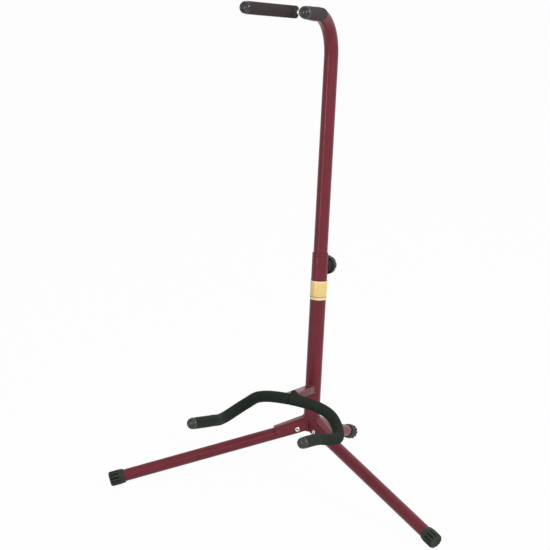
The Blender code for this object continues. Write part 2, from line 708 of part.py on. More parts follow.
clear_scene()
STAND = add_collection("guitar_stand")
GUIDES = add_collection("guitar_stand_cutters")
PAINT = finish("burgundy_paint", (0.17, 0.025, 0.045), 0.35, 0.1)
FOAM = finish("black_foam", (0.03, 0.033, 0.03), 0.9)
RUBBER = finish("grey_rubber", (0.045, 0.052, 0.045), 0.75)
BLACK_PLASTIC = finish("black_plastic", (0.02, 0.02, 0.022), 0.45)
GLOSS_PLASTIC = finish("gloss_black_plastic", (0.02, 0.022, 0.022), 0.2)
STEEL = finish("plated_steel", (0.62, 0.62, 0.6), 0.3, 1.0)
LABEL = finish("gold_label", (0.78, 0.56, 0.18), 0.4)
build_stand()
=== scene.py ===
"""The looks of a folding tripod guitar stand of burgundy painted steel tube.

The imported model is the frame: it says where the mast, the legs and the clamp lie. Every piece
here is made at that place as a fine mesh, gets a finish from nodes, and rides on its body.
The front of the stand faces -Y, +Z is up, and all lengths are in metres.
"""

import json
import logging
import math
from dataclasses import dataclass
from enum import Enum
from typing import Callable, Dict, List, Optional, Sequence, Tuple, Union

import bmesh
import bpy
from mathutils import Matrix, Vector


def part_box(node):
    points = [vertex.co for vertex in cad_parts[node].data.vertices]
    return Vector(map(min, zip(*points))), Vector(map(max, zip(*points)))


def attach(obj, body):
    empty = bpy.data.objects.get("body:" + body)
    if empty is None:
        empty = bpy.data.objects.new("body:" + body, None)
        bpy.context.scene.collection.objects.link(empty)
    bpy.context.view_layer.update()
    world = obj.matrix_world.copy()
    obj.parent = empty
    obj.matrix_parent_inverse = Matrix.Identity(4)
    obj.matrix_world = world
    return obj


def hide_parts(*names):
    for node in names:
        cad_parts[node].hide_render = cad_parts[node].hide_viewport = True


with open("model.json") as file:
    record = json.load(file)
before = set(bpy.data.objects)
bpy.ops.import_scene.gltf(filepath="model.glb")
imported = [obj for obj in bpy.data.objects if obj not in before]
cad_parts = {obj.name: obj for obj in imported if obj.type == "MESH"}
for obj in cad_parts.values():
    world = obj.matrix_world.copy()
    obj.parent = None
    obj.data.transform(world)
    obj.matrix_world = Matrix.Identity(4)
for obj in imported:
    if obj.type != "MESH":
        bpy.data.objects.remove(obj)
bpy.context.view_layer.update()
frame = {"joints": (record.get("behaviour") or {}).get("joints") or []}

LOG = logging.getLogger("guitar_stand")

MM = 0.001
GAP = 0.3 * MM  # air between pieces that touch
WELD_DISTANCE = 0.002 * MM  # points nearer than this become one
SMOOTH_ANGLE = math.radians(38)  # a sharper turn is shaded as an edge
SHARP_EDGE = math.radians(50)  # a sharper turn gets its edge rounded
LEAST_LEFT = 0.4  # the least share of a piece that a cut may leave
BEND_STEPS = 8  # on the outer side of a channel's bend
HOLLOW_STEPS = 5  # on its inner side
LEAST_HOLLOW = 0.4 * MM  # the smallest radius of that side
TRACE_STEP = 0.6 * MM  # between two points of a weld's line
TRACE_LIFT = 0.25 * MM  # how far that line lies off the mast
HALF_THIRD = math.pi / 3  # half of a leg's third of a full turn
FINE_SIDES = 96
ROUND_SIDES = 64
ROD_SIDES = 24

Point2 = Tuple[float, float]
Point3 = Tuple[float, float, float]
Ripple = Callable[[float, float, float], float]
Mesh = bpy.types.Mesh
Node = bpy.types.Node
Tree = bpy.types.NodeTree
Plug = bpy.types.NodeSocket
Socket = Union[Plug, float, Sequence[float]]


class Body(Enum):
    """The bodies of the frame that pieces ride on."""

    MAST_BASE = "mast_base"
    CLAMP = "clamp"
    UPPER_MAST = "upper_mast"
    LEFT_LEG = "left_leg"
    RIGHT_LEG = "right_leg"
    REAR_LEG = "rear_leg"


class Slot(Enum):
    """The record's material slots."""

    PAINT = "burgundy_paint"
    FOAM = "black_foam"
    RUBBER = "grey_rubber"
    PLASTIC = "black_plastic"
    GLOSS = "gloss_black_plastic"
    STEEL = "plated_steel"
    LABEL = "gold_label"


class Side(Enum):
    """The three legs' sides."""

    LEFT = "left"
    RIGHT = "right"
    REAR = "rear"


class Wiring:
    """A short hand for filling a node tree."""

    def __init__(self, tree: Tree) -> None:
        """Keep the tree that nodes are added to."""
        self.tree = tree

    def add(self, kind: str, inputs: Optional[Dict[Union[str, int], Socket]] = None,
            **settings: object) -> Node:
        """Add a node.

        Args:
            kind: The node's type.
            inputs: A constant or a socket for each input that is set.
            settings: The node's own properties.

        Returns:
            The new node.
        """
        node = self.tree.nodes.new(kind)
        for key, value in settings.items():
            setattr(node, key, value)
        for key, value in (inputs or {}).items():
            self.feed(node.inputs[key], value)
        return node

    def feed(self, socket: Plug, value: Socket) -> None:
        """Link a socket to an input, or set a constant on it.

        Args:
            socket: The input.
            value: The socket or the constant.
        """
        if isinstance(value, Plug):
            self.tree.links.new(value, socket)
        else:
            socket.default_value = value

    def math(self, operation: str, *values: Socket) -> Plug:
        """Add a Math node and return its result."""
        kind = "ShaderNodeMath"
        return self.add(kind, dict(enumerate(values)), operation=operation).outputs[0]

    def blend(self, share: Socket, first: Socket, second: Socket) -> Plug:
        """Mix two colours and return the result."""
        node = self.add("ShaderNodeMix", {0: share, 6: first, 7: second}, data_type="RGBA")
        return node.outputs[2]

    def ramp(self, value: Socket, low: Socket, high: Socket, start: Socket = 0.0,
             end: Socket = 1.0) -> Plug:
        """Map a value smoothly from one range to another.

        Args:
            value: What is mapped.
            low: The value that becomes start.
            high: The value that becomes end.
            start: The result at low.
            end: The result at high.

        Returns:
            The mapped value's socket.
        """
        return self.add("ShaderNodeMapRange", {0: value, 1: low, 2: high, 3: start, 4: end},
                        interpolation_type="SMOOTHSTEP").outputs[0]


def new_group(name: str, kind: str, inputs: Dict[str, Tuple[str, object]],
              outputs: Dict[str, str]) -> Tuple[Tree, Wiring, Node, Node]:
    """Make an empty node group with named sockets.

    Args:
        name: The group's name.
        kind: ShaderNodeTree or GeometryNodeTree.
        inputs: Each input's socket type and its default, or None.
        outputs: Each output's socket type.

    Returns:
        The tree, its wiring, its input node and its output node.
    """
    tree = bpy.data.node_groups.new(name, kind)
    for label, (socket_type, default) in inputs.items():
        made = tree.interface.new_socket(label, in_out="INPUT", socket_type=socket_type)
        if default is not None:
            made.default_value = default
    for label, socket_type in outputs.items():
        tree.interface.new_socket(label, in_out="OUTPUT", socket_type=socket_type)
    wiring = Wiring(tree)
    return tree, wiring, wiring.add("NodeGroupInput"), wiring.add("NodeGroupOutput")


class Effects:
    """The shader groups that several finishes share."""

    PIT_BAND = (0.12, 0.45)
    PATCH_BAND = (0.42, 0.62)
    SPECK_BAND = (0.35, 0.7)

    def __init__(self) -> None:
        """Build every group once."""
        self.tone = self._tone()
        self.grain = self._grain()
        self.wear = self._wear()
        self.dust = self._dust()

    @staticmethod
    def _scale(w: Wiring, given: Node) -> Plug:
        """Turn a group's Size in metres into a texture's scale."""
        return w.math("DIVIDE", 1.0, given.outputs["Size"])

    def _noise(self, w: Wiring, given: Node, detail: float) -> Plug:
        """Noise with features as large as a group's Size.

        Args:
            w: The group's wiring.
            given: Its input node.
            detail: How fine the noise goes.

        Returns:
            The noise's socket.
        """
        return w.add("ShaderNodeTexNoise", {
            "Vector": given.outputs["Vector"], "Scale": self._scale(w, given),
            "Detail": detail}).outputs[0]

    def _tone(self) -> Tree:
        """A slow drift between two colours.

        Returns:
            The group.
        """
        tree, w, given, made = new_group("tone_drift", "ShaderNodeTree", {
            "Vector": ("NodeSocketVector", None),
            "First": ("NodeSocketColor", None),
            "Second": ("NodeSocketColor", None),
            "Size": ("NodeSocketFloat", 0.02),
            "Contrast": ("NodeSocketFloat", 2.0),
        }, {"Color": "NodeSocketColor", "Mask": "NodeSocketFloat"})
        centred = w.math("SUBTRACT", self._noise(w, given, 3.0), 0.5)
        mask = w.add("ShaderNodeMath", {0: centred, 1: given.outputs["Contrast"], 2: 0.5},
                     operation="MULTIPLY_ADD", use_clamp=True).outputs[0]
        w.feed(made.inputs["Mask"], mask)
        w.feed(made.inputs["Color"],
               w.blend(mask, given.outputs["First"], given.outputs["Second"]))
        return tree

    def _grain(self) -> Tree:
        """A fine surface: rolling grain mixed with round pits.

        Returns:
            The group.
        """
        tree, w, given, made = new_group("surface_grain", "ShaderNodeTree", {
            "Vector": ("NodeSocketVector", None),
            "Size": ("NodeSocketFloat", 0.001),
            "Pitting": ("NodeSocketFloat", 0.0),
        }, {"Height": "NodeSocketFloat", "Pits": "NodeSocketFloat"})
        noise = self._noise(w, given, 2.0)
        cells = w.add("ShaderNodeTexVoronoi", {
            "Vector": given.outputs["Vector"], "Scale": self._scale(w, given)})
        pits = w.ramp(cells.outputs["Distance"], *self.PIT_BAND, 1.0, 0.0)
        deep = w.math("MULTIPLY", pits, given.outputs["Pitting"])
        w.feed(made.inputs["Pits"], deep)
        w.feed(made.inputs["Height"], w.math("SUBTRACT", noise, deep))
        return tree

    def _wear(self) -> Tree:
        """Where edges are rubbed, from how sharply the surface turns there.

        Returns:
            The group.
        """
        tree, w, given, made = new_group("edge_wear", "ShaderNodeTree", {
            "Vector": ("NodeSocketVector", None),
            "Pointiness": ("NodeSocketFloat", 0.5),
            "Start": ("NodeSocketFloat", 0.55),
            "End": ("NodeSocketFloat", 0.7),
            "Size": ("NodeSocketFloat", 0.002),
        }, {"Mask": "NodeSocketFloat"})
        edge = w.ramp(given.outputs["Pointiness"], given.outputs["Start"],
                      given.outputs["End"])
        patches = w.ramp(self._noise(w, given, 4.0), *self.PATCH_BAND)
        w.feed(made.inputs["Mask"], w.math("MULTIPLY", edge, patches))
        return tree

    def _dust(self) -> Tree:
        """Dust that has settled on what faces up.

        Returns:
            The group.
        """
        tree, w, given, made = new_group("settled_dust", "ShaderNodeTree", {
            "Vector": ("NodeSocketVector", None),
            "Amount": ("NodeSocketFloat", 0.1),
            "Size": ("NodeSocketFloat", 0.004),
        }, {"Mask": "NodeSocketFloat"})
        normal = w.add("ShaderNodeNewGeometry").outputs["Normal"]
        height = w.add("ShaderNodeSeparateXYZ", {0: normal}).outputs["Z"]
        specks = w.ramp(self._noise(w, given, 5.0), *self.SPECK_BAND)
        upwards = w.ramp(height, 0.0, 1.0)
        share = w.math("MULTIPLY", upwards, specks)
        w.feed(made.inputs["Mask"], w.math("MULTIPLY", share, given.outputs["Amount"]))
        return tree


@dataclass(frozen=True)
class Tones:
    """Two colours that a surface drifts between, over what length and how sharply."""

    first: Point3
    second: Point3
    size: float
    contrast: float


@dataclass(frozen=True)
class Wear:
    """Rubbed edges: the turn at which they start, and are full, and their patches' size."""

    start: float
    end: float
    size: float


@dataclass(frozen=True)
class Dust:
    """Settled dust: how much there is, its specks' size, and its colour."""

    amount: float
    size: float
    colour: Point3 = (0.12, 0.12, 0.11)


@dataclass(frozen=True)
class Finish:
    """What every finish has: its name, and the record's slot that it belongs to."""

    name: str
    slot: Slot

    def dress(self, kit: "Bench") -> None:
        """Wire the material's nodes."""
        raise NotImplementedError


class Bench:
    """One material while its nodes are wired."""

    def __init__(self, name: str, effects: Effects) -> None:
        """Start a material with a Principled shader and its coordinates.

        Args:
            name: The material's name.
            effects: The shared groups.
        """
        self.material = bpy.data.materials.new(name)
        self.material.use_nodes = True
        self.wiring = Wiring(self.material.node_tree)
        self.shader = self.material.node_tree.nodes["Principled BSDF"]
        self.effects = effects
        self.place = self.wiring.add("ShaderNodeTexCoord").outputs["Object"]

    def put(self, **values: Socket) -> None:
        """Set or link the shader's inputs, with underscores for spaces in their names."""
        for key, value in values.items():
            self.wiring.feed(self.shader.inputs[key.replace("_", " ")], value)

    def effect(self, tree: Tree, **values: Socket) -> Node:
        """Place a shared group and feed its named inputs.

        Args:
            tree: The group.
            values: Its inputs, apart from Vector.

        Returns:
            The group's node.
        """
        node = self.wiring.add("ShaderNodeGroup", node_tree=tree)
        self.wiring.feed(node.inputs["Vector"], self.place)
        for key, value in values.items():
            self.wiring.feed(node.inputs[key], value)
        return node

    def toned(self, tones: Tones) -> Tuple[Plug, Plug]:
        """Drift between two colours.

        Args:
            tones: The colours.

        Returns:
            The colour and its mask.
        """
        node = self.effect(self.effects.tone, First=rgba(tones.first),
                           Second=rgba(tones.second), Size=tones.size,
                           Contrast=tones.contrast)
        return node.outputs["Color"], node.outputs["Mask"]

    def spread(self, mask: Socket, band: Point2) -> Plug:
        """A value that starts at a band's first number and gains its second by a mask."""
        return self.wiring.math("MULTIPLY_ADD", mask, band[1], band[0])

    def worn(self, wear: Wear) -> Plug:
        """Find the rubbed edges of the piece.

        Args:
            wear: Where they start.

        Returns:
            Their mask.
        """
        turn = self.wiring.add("ShaderNodeNewGeometry").outputs["Pointiness"]
        return self.effect(self.effects.wear, Pointiness=turn, Start=wear.start,
                           End=wear.end, Size=wear.size).outputs["Mask"]

    def dusted(self, dust: Dust, colour: Socket) -> Tuple[Plug, Plug]:
        """Lay dust on a colour, and return the new colour and the dust's mask."""
        mask = self.effect(self.effects.dust, Amount=dust.amount, Size=dust.size).outputs[0]
        return self.wiring.blend(mask, colour, rgba(dust.colour)), mask

    def bump(self, height: Socket, depth: float) -> None:
        """Give the shader a bumped normal.

        Args:
            height: How high the surface lies, as a plain number.
            depth: The length that a height of 1 stands for.
        """
        node = self.wiring.add("ShaderNodeBump", {
            "Height": height, "Distance": depth, "Strength": 1.0})
        self.put(Normal=node.outputs["Normal"])

    def grained(self, size: float, depth: float, pitting: float = 0.0) -> None:
        """Give the shader a fine grain."""
        grain = self.effect(self.effects.grain, Size=size, Pitting=pitting)
        self.bump(grain.outputs["Height"], depth)


def rgba(colour: Sequence[float]) -> Tuple[float, float, float, float]:
    """A colour with full alpha."""
    return (colour[0], colour[1], colour[2], 1.0)


@dataclass(frozen=True)
class PaintFinish(Finish):
    """Stoved metallic paint on steel, with a light orange peel and rubbed edges."""

    tones: Tones = Tones((0.160, 0.0195, 0.034), (0.126, 0.0190, 0.024), 18 * MM, 2.5)
    bare_colour: Point3 = (0.46, 0.30, 0.28)
    wear: Wear = Wear(0.56, 0.68, 1.5 * MM)
    dust: Dust = Dust(0.04, 3 * MM, (0.26, 0.17, 0.16))
    roughness: Point2 = (0.28, 0.10)
    dust_roughness: float = 1.2
    metallic: Point2 = (0.17, 0.5)
    coat: Point2 = (0.12, -0.1)
    coat_roughness: float = 0.12
    specular: float = 0.14
    peel_size: float = 1.6 * MM
    peel_depth: float = 0.020 * MM

    def dress(self, kit: Bench) -> None:
        """Wire the paint's nodes.

        Args:
            kit: The material.
        """
        w = kit.wiring
        tone, drift = kit.toned(self.tones)
        worn = kit.worn(self.wear)
        dusty, dust = kit.dusted(self.dust, tone)
        kit.put(Base_Color=w.blend(worn, dusty, rgba(self.bare_colour)))
        kit.put(Roughness=w.math("ADD", kit.spread(drift, self.roughness),
                                 w.math("MULTIPLY", dust, self.dust_roughness)))
        kit.put(Metallic=kit.spread(worn, self.metallic))
        kit.put(Coat_Weight=kit.spread(dust, self.coat))
        kit.put(Coat_Roughness=self.coat_roughness, Specular_IOR_Level=self.specular)
        kit.grained(self.peel_size, self.peel_depth)


@dataclass(frozen=True)
class FoamFinish(Finish):
    """Closed-cell foam tube with open pores in its skin, darkened in the pores with painted
    shade.
    """

    tones: Tones = Tones((0.0065, 0.0115, 0.0078), (0.0135, 0.0190, 0.0138), 5 * MM, 3.0)
    speck_colour: Point3 = (0.068, 0.078, 0.065)
    pore_shade_colour: Point3 = (0.003, 0.004, 0.003)
    speck_size: float = 0.8 * MM
    speck_contrast: float = 5.0
    speck_share: float = 0.16
    dust: Dust = Dust(0.03, 2 * MM)
    roughness: Point2 = (0.70, 0.12)
    sheen: float = 0.01
    sheen_roughness: float = 0.4
    specular: float = 0.10
    pore_size: float = 0.9 * MM
    pore_depth: float = 0.16 * MM
    pore_share: float = 0.8

    def dress(self, kit: Bench) -> None:
        """Wire the foam's nodes.

        Args:
            kit: The material.
        """
        w = kit.wiring
        tone, drift = kit.toned(self.tones)
        pores = kit.effect(kit.effects.grain, Size=self.pore_size, Pitting=self.pore_share)
        specks = kit.effect(kit.effects.tone, Size=self.speck_size,
                            Contrast=self.speck_contrast).outputs["Mask"]
        # The pores are darkened with painted shade, through the grain's pit mask.
        pore_shaded = w.blend(w.math("MULTIPLY", pores.outputs["Pits"], self.pore_share), tone,
                         rgba(self.pore_shade_colour))
        specked = w.blend(w.math("MULTIPLY", specks, self.speck_share), pore_shaded,
                          rgba(self.speck_colour))
        kit.put(Base_Color=kit.dusted(self.dust, specked)[0])
        kit.put(Roughness=kit.spread(drift, self.roughness))
        kit.put(Sheen_Weight=self.sheen, Sheen_Roughness=self.sheen_roughness,
                Specular_IOR_Level=self.specular)
        kit.bump(pores.outputs["Height"], self.pore_depth)


@dataclass(frozen=True)
class RubberFinish(Finish):
    """Moulded grey-green rubber, scuffed and dusty on its ribs, with painted shade in its
    grooves.
    """

    tones: Tones = Tones((0.016, 0.023, 0.016), (0.030, 0.039, 0.029), 4 * MM, 2.5)
    scuff_colour: Point3 = (0.09, 0.10, 0.08)
    groove_shade_colour: Point3 = (0.003, 0.004, 0.003)
    wear: Wear = Wear(0.53, 0.62, 1.0 * MM)
    wear_share: float = 0.6
    dust: Dust = Dust(0.06, 1.5 * MM, (0.14, 0.14, 0.125))
    roughness: Point2 = (0.52, 0.2)
    specular: float = 0.18
    ribs: float = 12.0
    groove_share: Point2 = (0.15, 0.25)
    groove_span: Point2 = (0.32, 0.97)
    groove_fades: Point2 = (0.05, 0.03)
    grain_size: float = 0.7 * MM
    grain_depth: float = 0.05 * MM
    grain_pits: float = 0.2

    def dress(self, kit: Bench) -> None:
        """Wire the rubber's nodes.

        Args:
            kit: The material.
        """
        w = kit.wiring
        scuffs = kit.worn(self.wear)
        scuffed = w.blend(w.math("MULTIPLY", scuffs, self.wear_share),
                          kit.toned(self.tones)[0], rgba(self.scuff_colour))
        dusty = kit.dusted(self.dust, scuffed)[0]
        # The grooves between the ribs are darkened with painted shade by the groove mask.
        kit.put(Base_Color=w.blend(self.grooves(w), dusty, rgba(self.groove_shade_colour)))
        kit.put(Roughness=kit.spread(scuffs, self.roughness))
        kit.put(Specular_IOR_Level=self.specular)
        kit.grained(self.grain_size, self.grain_depth, self.grain_pits)

    def grooves(self, w: Wiring) -> Plug:
        """Mask the painted shade in the grooves, from the map that is wrapped round the foot.

        Args:
            w: The material's wiring.

        Returns:
            The mask, 1 in a groove.
        """
        wrap = w.add("ShaderNodeSeparateXYZ", {
            0: w.add("ShaderNodeUVMap", uv_map="wrap").outputs["UV"]}).outputs
        turn = w.math("FRACT", w.math("MULTIPLY", wrap["X"], self.ribs))
        away = w.math("ABSOLUTE", w.math("SUBTRACT", turn, 0.5))
        across = w.ramp(away, *reversed(self.groove_share))
        start, end = self.groove_span
        after = w.ramp(wrap["Y"], start, start + self.groove_fades[0])
        before = w.ramp(wrap["Y"], end, end - self.groove_fades[1])
        return w.math("MULTIPLY", across, w.math("MULTIPLY", after, before))


@dataclass(frozen=True)
class MouldedFinish(Finish):
    """Injection-moulded black plastic, grained or glossy."""

    tones: Tones = Tones((0.013, 0.014, 0.014), (0.020, 0.022, 0.021), 6 * MM, 2.0)
    edge_colour: Point3 = (0.06, 0.06, 0.06)
    wear: Wear = Wear(0.54, 0.66, 1.2 * MM)
    wear_share: float = 0.5
    dust: Dust = Dust(0.05, 1.5 * MM)
    roughness: Point2 = (0.38, 0.08)
    dust_roughness: float = 1.5
    specular: float = 0.25
    grain_size: float = 0.5 * MM
    grain_depth: float = 0.03 * MM

    def dress(self, kit: Bench) -> None:
        """Wire the plastic's nodes.

        Args:
            kit: The material.
        """
        w = kit.wiring
        tone, drift = kit.toned(self.tones)
        rubbed = w.math("MULTIPLY", kit.worn(self.wear), self.wear_share)
        edged = w.blend(rubbed, tone, rgba(self.edge_colour))
        dusty, dust = kit.dusted(self.dust, edged)
        kit.put(Base_Color=dusty)
        kit.put(Roughness=w.math("ADD", kit.spread(drift, self.roughness),
                                 w.math("MULTIPLY", dust, self.dust_roughness)))
        kit.put(Specular_IOR_Level=self.specular)
        kit.grained(self.grain_size, self.grain_depth)


@dataclass(frozen=True)
class PlatedFinish(Finish):
    """Bright zinc plate with a faint cloud and fine handling marks."""

    tones: Tones = Tones((0.74, 0.73, 0.70), (0.52, 0.52, 0.50), 2.5 * MM, 2.0)
    rubbed_colour: Point3 = (0.85, 0.84, 0.82)
    wear: Wear = Wear(0.55, 0.7, 0.8 * MM)
    roughness: Point2 = (0.26, 0.12)
    grain_size: float = 0.35 * MM
    grain_depth: float = 0.012 * MM

    def dress(self, kit: Bench) -> None:
        """Wire the plate's nodes.

        Args:
            kit: The material.
        """
        w = kit.wiring
        tone, drift = kit.toned(self.tones)
        kit.put(Base_Color=w.blend(kit.worn(self.wear), tone, rgba(self.rubbed_colour)))
        kit.put(Roughness=kit.spread(drift, self.roughness))
        kit.put(Metallic=1.0)
        kit.grained(self.grain_size, self.grain_depth)


@dataclass(frozen=True)
class LabelFinish(Finish):
    """Bare gold film with pale edges and a thin line near the lower one."""

    tones: Tones = Tones((0.78, 0.60, 0.26), (0.70, 0.50, 0.17), 7 * MM, 1.6)
    border_colour: Point3 = (0.82, 0.66, 0.38)
    line_colour: Point3 = (0.34, 0.21, 0.05)
    borders: Point2 = (0.13, 0.93)
    line: Point2 = (0.13, 0.17)
    roughness: Point2 = (0.30, 0.10)
    metallic: Point2 = (0.15, 0.10)
    specular: float = 0.3
    grain_size: float = 0.6 * MM
    grain_depth: float = 0.01 * MM

    def dress(self, kit: Bench) -> None:
        """Wire the film's nodes.

        Args:
            kit: The material.
        """
        w = kit.wiring
        tone, drift = kit.toned(self.tones)
        along = w.add("ShaderNodeSeparateXYZ", {
            0: w.add("ShaderNodeUVMap", uv_map="wrap").outputs["UV"]}).outputs["Y"]
        outside = w.math("MAXIMUM", w.math("LESS_THAN", along, self.borders[0]),
                         w.math("GREATER_THAN", along, self.borders[1]))
        below = w.math("LESS_THAN", along, self.line[1])
        above = w.math("GREATER_THAN", along, self.line[0])
        lined = w.blend(w.math("MULTIPLY", below, above), tone, rgba(self.line_colour))
        kit.put(Base_Color=w.blend(outside, lined, rgba(self.border_colour)))
        kit.put(Roughness=kit.spread(drift, self.roughness))
        kit.put(Metallic=kit.spread(drift, self.metallic))
        kit.put(Specular_IOR_Level=self.specular)
        kit.grained(self.grain_size, self.grain_depth)


PAINT = PaintFinish("burgundy_stoved_paint", Slot.PAINT)
CRADLE_FOAM = FoamFinish("cradle_foam_skin", Slot.FOAM)
# The neck's foam: lighter, browner tones than the cradle's, lighter specks, and near-black
# painted shade in its pores.
NECK_FOAM = FoamFinish("neck_foam_skin", Slot.FOAM, Tones(
    (0.0265, 0.0185, 0.0188), (0.046, 0.036, 0.035), 5 * MM, 3.0),
    (0.11, 0.10, 0.10), (0.006, 0.005, 0.005))
RUBBER = RubberFinish("moulded_foot_rubber", Slot.RUBBER)
GRAINED = MouldedFinish("grained_black_plastic", Slot.PLASTIC)
GLOSSY = MouldedFinish("glossy_black_plastic", Slot.GLOSS, roughness=(0.08, 0.08),
                       grain_size=1.2 * MM, grain_depth=0.006 * MM, wear_share=0.2,
                       specular=0.5)
PLATED = PlatedFinish("bright_zinc_plate", Slot.STEEL)
GOLD_FILM = LabelFinish("bare_gold_film", Slot.LABEL)


class Wardrobe:
    """Holds each finish's material once it is made."""

    def __init__(self) -> None:
        """Build the shared effects and start with no material."""
        self.effects = Effects()
        self.made: Dict[str, bpy.types.Material] = {}

    def of(self, finish: Finish) -> bpy.types.Material:
        """Return a finish's material, and make it the first time.

        Args:
            finish: The finish.

        Returns:
            Its material.
        """
        if finish.name not in self.made:
            kit = Bench(finish.name, self.effects)
            finish.dress(kit)
            self.made[finish.name] = kit.material
        return self.made[finish.name]


class Path:
    """A line in space that is walked by its length, with axes that don't twist."""

    def __init__(self, points: Sequence[Vector], side: Vector = Vector((1, 0, 0))) -> None:
        """Measure the line and carry the side axis along it.

        Args:
            points: The line's points, in order.
            side: A direction across the line's start.
        """
        self.points = [Vector(p) for p in points]
        self.reach = [0.0]
        for a, b in zip(self.points, self.points[1:]):
            self.reach.append(self.reach[-1] + (b - a).length)
        self.length = self.reach[-1]
        steps = [(b - a).normalized() for a, b in zip(self.points, self.points[1:])]
        self.heads = [steps[0]]
        self.heads += [(a + b).normalized() for a, b in zip(steps, steps[1:])]
        self.heads.append(steps[-1])
        self.sides = []
        carried = Vector(side)
        for head in self.heads:
            carried = (carried - head * carried.dot(head)).normalized()
            self.sides.append(carried.copy())

    def at(self, along: float) -> Tuple[Vector, Vector, Vector]:
        """Where the line is at a length, and its two cross axes.

        Args:
            along: The length from the line's start; it may lie before it or past the end.

        Returns:
            The place and two directions square to the line.
        """
        last = len(self.points) - 2
        index = 0
        while index < last and self.reach[index + 1] < along:
            index += 1
        span = self.reach[index + 1] - self.reach[index]
        share = (along - self.reach[index]) / span
        place = self.points[index].lerp(self.points[index + 1], share)
        limited = min(max(share, 0.0), 1.0)
        head = self.heads[index].lerp(self.heads[index + 1], limited).normalized()
        side = self.sides[index].lerp(self.sides[index + 1], limited)
        side = (side - head * side.dot(head)).normalized()
        return place, side, head.cross(side)


UPRIGHT = Path([Vector((0, 0, 0)), Vector((0, 0, 1))])
OUTWARD = Path([Vector((0, 0, 0)), Vector((1, 0, 0))], Vector((0, 1, 0)))


def arc(centre: Point2, radius: float, start: float, end: float, steps: int) -> List[Point2]:
    """Lay points on an arc.

    Args:
        centre: The arc's centre.
        radius: Its radius.
        start: The first point's angle.
        end: The last point's angle.
        steps: The stretches between them.

    Returns:
        The points.
    """
    angles = [start + (end - start) * i / steps for i in range(steps + 1)]
    return [(centre[0] + radius * math.cos(a), centre[1] + radius * math.sin(a))
            for a in angles]


def filleted(corners: Sequence[Tuple[float, float, float]], closed: bool,
             steps: int = 4) -> List[Point2]:
    """Round the corners of an outline.

    Args:
        corners: Each corner's two coordinates and how far its rounding reaches.
        closed: Whether the last corner joins the first.
        steps: The stretches in each rounding.

    Returns:
        The outline's points.
    """
    points: List[Point2] = []
    count = len(corners)
    for i, (x, y, reach) in enumerate(corners):
        at_end = not closed and i in (0, count - 1)
        if reach <= 0 or at_end:
            points.append((x, y))
            continue
        here = Vector((x, y))
        before = Vector(corners[i - 1][:2]) - here
        after = Vector(corners[(i + 1) % count][:2]) - here
        first = here + before.normalized() * min(reach, before.length / 2)
        last = here + after.normalized() * min(reach, after.length / 2)
        for j in range(steps + 1):
            t = j / steps
            spot = first * (1 - t) ** 2 + here * 2 * t * (1 - t) + last * t * t
            points.append((spot.x, spot.y))
    return points


def stationed(profile: Sequence[Point2], step: float, closed: bool) -> List[Point2]:
    """Add points to the long stretches of a profile.

    Args:
        profile: Points of (distance along, radius).
        step: The longest stretch along the path that is left.
        closed: Whether the last point joins the first.

    Returns:
        The profile with its added points.
    """
    ends = [*profile[1:], profile[0]] if closed else list(profile[1:])
    points: List[Point2] = []
    for (a, r), (b, q) in zip(profile, ends):
        count = max(1, math.ceil(abs(b - a) / step))
        points += [(a + (b - a) * i / count, r + (q - r) * i / count) for i in range(count)]
    if not closed:
        points.append(profile[-1])
    return points


def new_mesh(name: str, shape: bmesh.types.BMesh) -> Mesh:
    """Weld a shape, point its faces outwards and make it a mesh.

    Args:
        name: The mesh's name.
        shape: The shape, which is used up.

    Returns:
        The mesh.
    """
    bmesh.ops.remove_doubles(shape, verts=shape.verts, dist=WELD_DISTANCE)
    bmesh.ops.recalc_face_normals(shape, faces=shape.faces)
    mesh = bpy.data.meshes.new(name)
    shape.to_mesh(mesh)
    shape.free()
    return mesh


def turned(name: str, path: Path, profile: Sequence[Point2], closed: bool,
           sides: int = FINE_SIDES, ripple: Optional[Ripple] = None) -> Mesh:
    """Carry a profile round a path, straight or bent.

    Args:
        name: The mesh's name.
        path: The axis.
        profile: Points of (distance along the path, radius). A radius of 0 closes an end.
        closed: Whether the profile's last point joins its first, as on a tube.
        sides: The sides of the round shape.
        ripple: Changes a radius by the angle and the distance along.

    Returns:
        A closed mesh with a UV map named wrap.
    """
    shape = bmesh.new()
    wrap = shape.loops.layers.uv.new("wrap")
    low = min(along for along, _ in profile)
    span = max(along for along, _ in profile) - low
    rings = []
    for along, radius in profile:
        place, side, cross = path.at(along)
        if radius <= 0:
            rings.append([shape.verts.new(place)])
            continue
        ring = []
        for i in range(sides):
            angle = math.tau * i / sides
            reach = ripple(angle, along, radius) if ripple else radius
            direction = side * math.cos(angle) + cross * math.sin(angle)
            ring.append(shape.verts.new(place + direction * reach))
        rings.append(ring)
    heights = [(along - low) / span for along, _ in profile]
    count = len(rings) if closed else len(rings) - 1
    for index in range(count):
        after = (index + 1) % len(rings)
        ends = (heights[index], heights[after])
        join_rings(shape, wrap, (rings[index], rings[after]), ends, sides)
    return new_mesh(name, shape)


def join_rings(shape: bmesh.types.BMesh, wrap: bmesh.types.BMLayerItem,
               rings: Tuple[List[bmesh.types.BMVert], List[bmesh.types.BMVert]],
               heights: Tuple[float, float], sides: int) -> None:
    """Fill the band between two rings, or between a ring and a point.

    Args:
        shape: The shape that they belong to.
        wrap: Its UV layer.
        rings: The two rings. One may be a single point.
        heights: Each ring's height on the UV map.
        sides: The points of a whole ring.
    """
    first, second = rings
    for i in range(sides):
        j = (i + 1) % sides
        corners = []
        if len(first) > 1:
            corners += [(first[i], i, heights[0]), (first[j], i + 1, heights[0])]
        else:
            corners.append((first[0], i, heights[0]))
        if len(second) > 1:
            corners += [(second[j], i + 1, heights[1]), (second[i], i, heights[1])]
        else:
            corners.append((second[0], i, heights[1]))
        if len(corners) < 3:
            return
        face = shape.faces.new([corner[0] for corner in corners])
        for loop, (_, turn, height) in zip(face.loops, corners):
            loop[wrap].uv = (turn / sides, height)


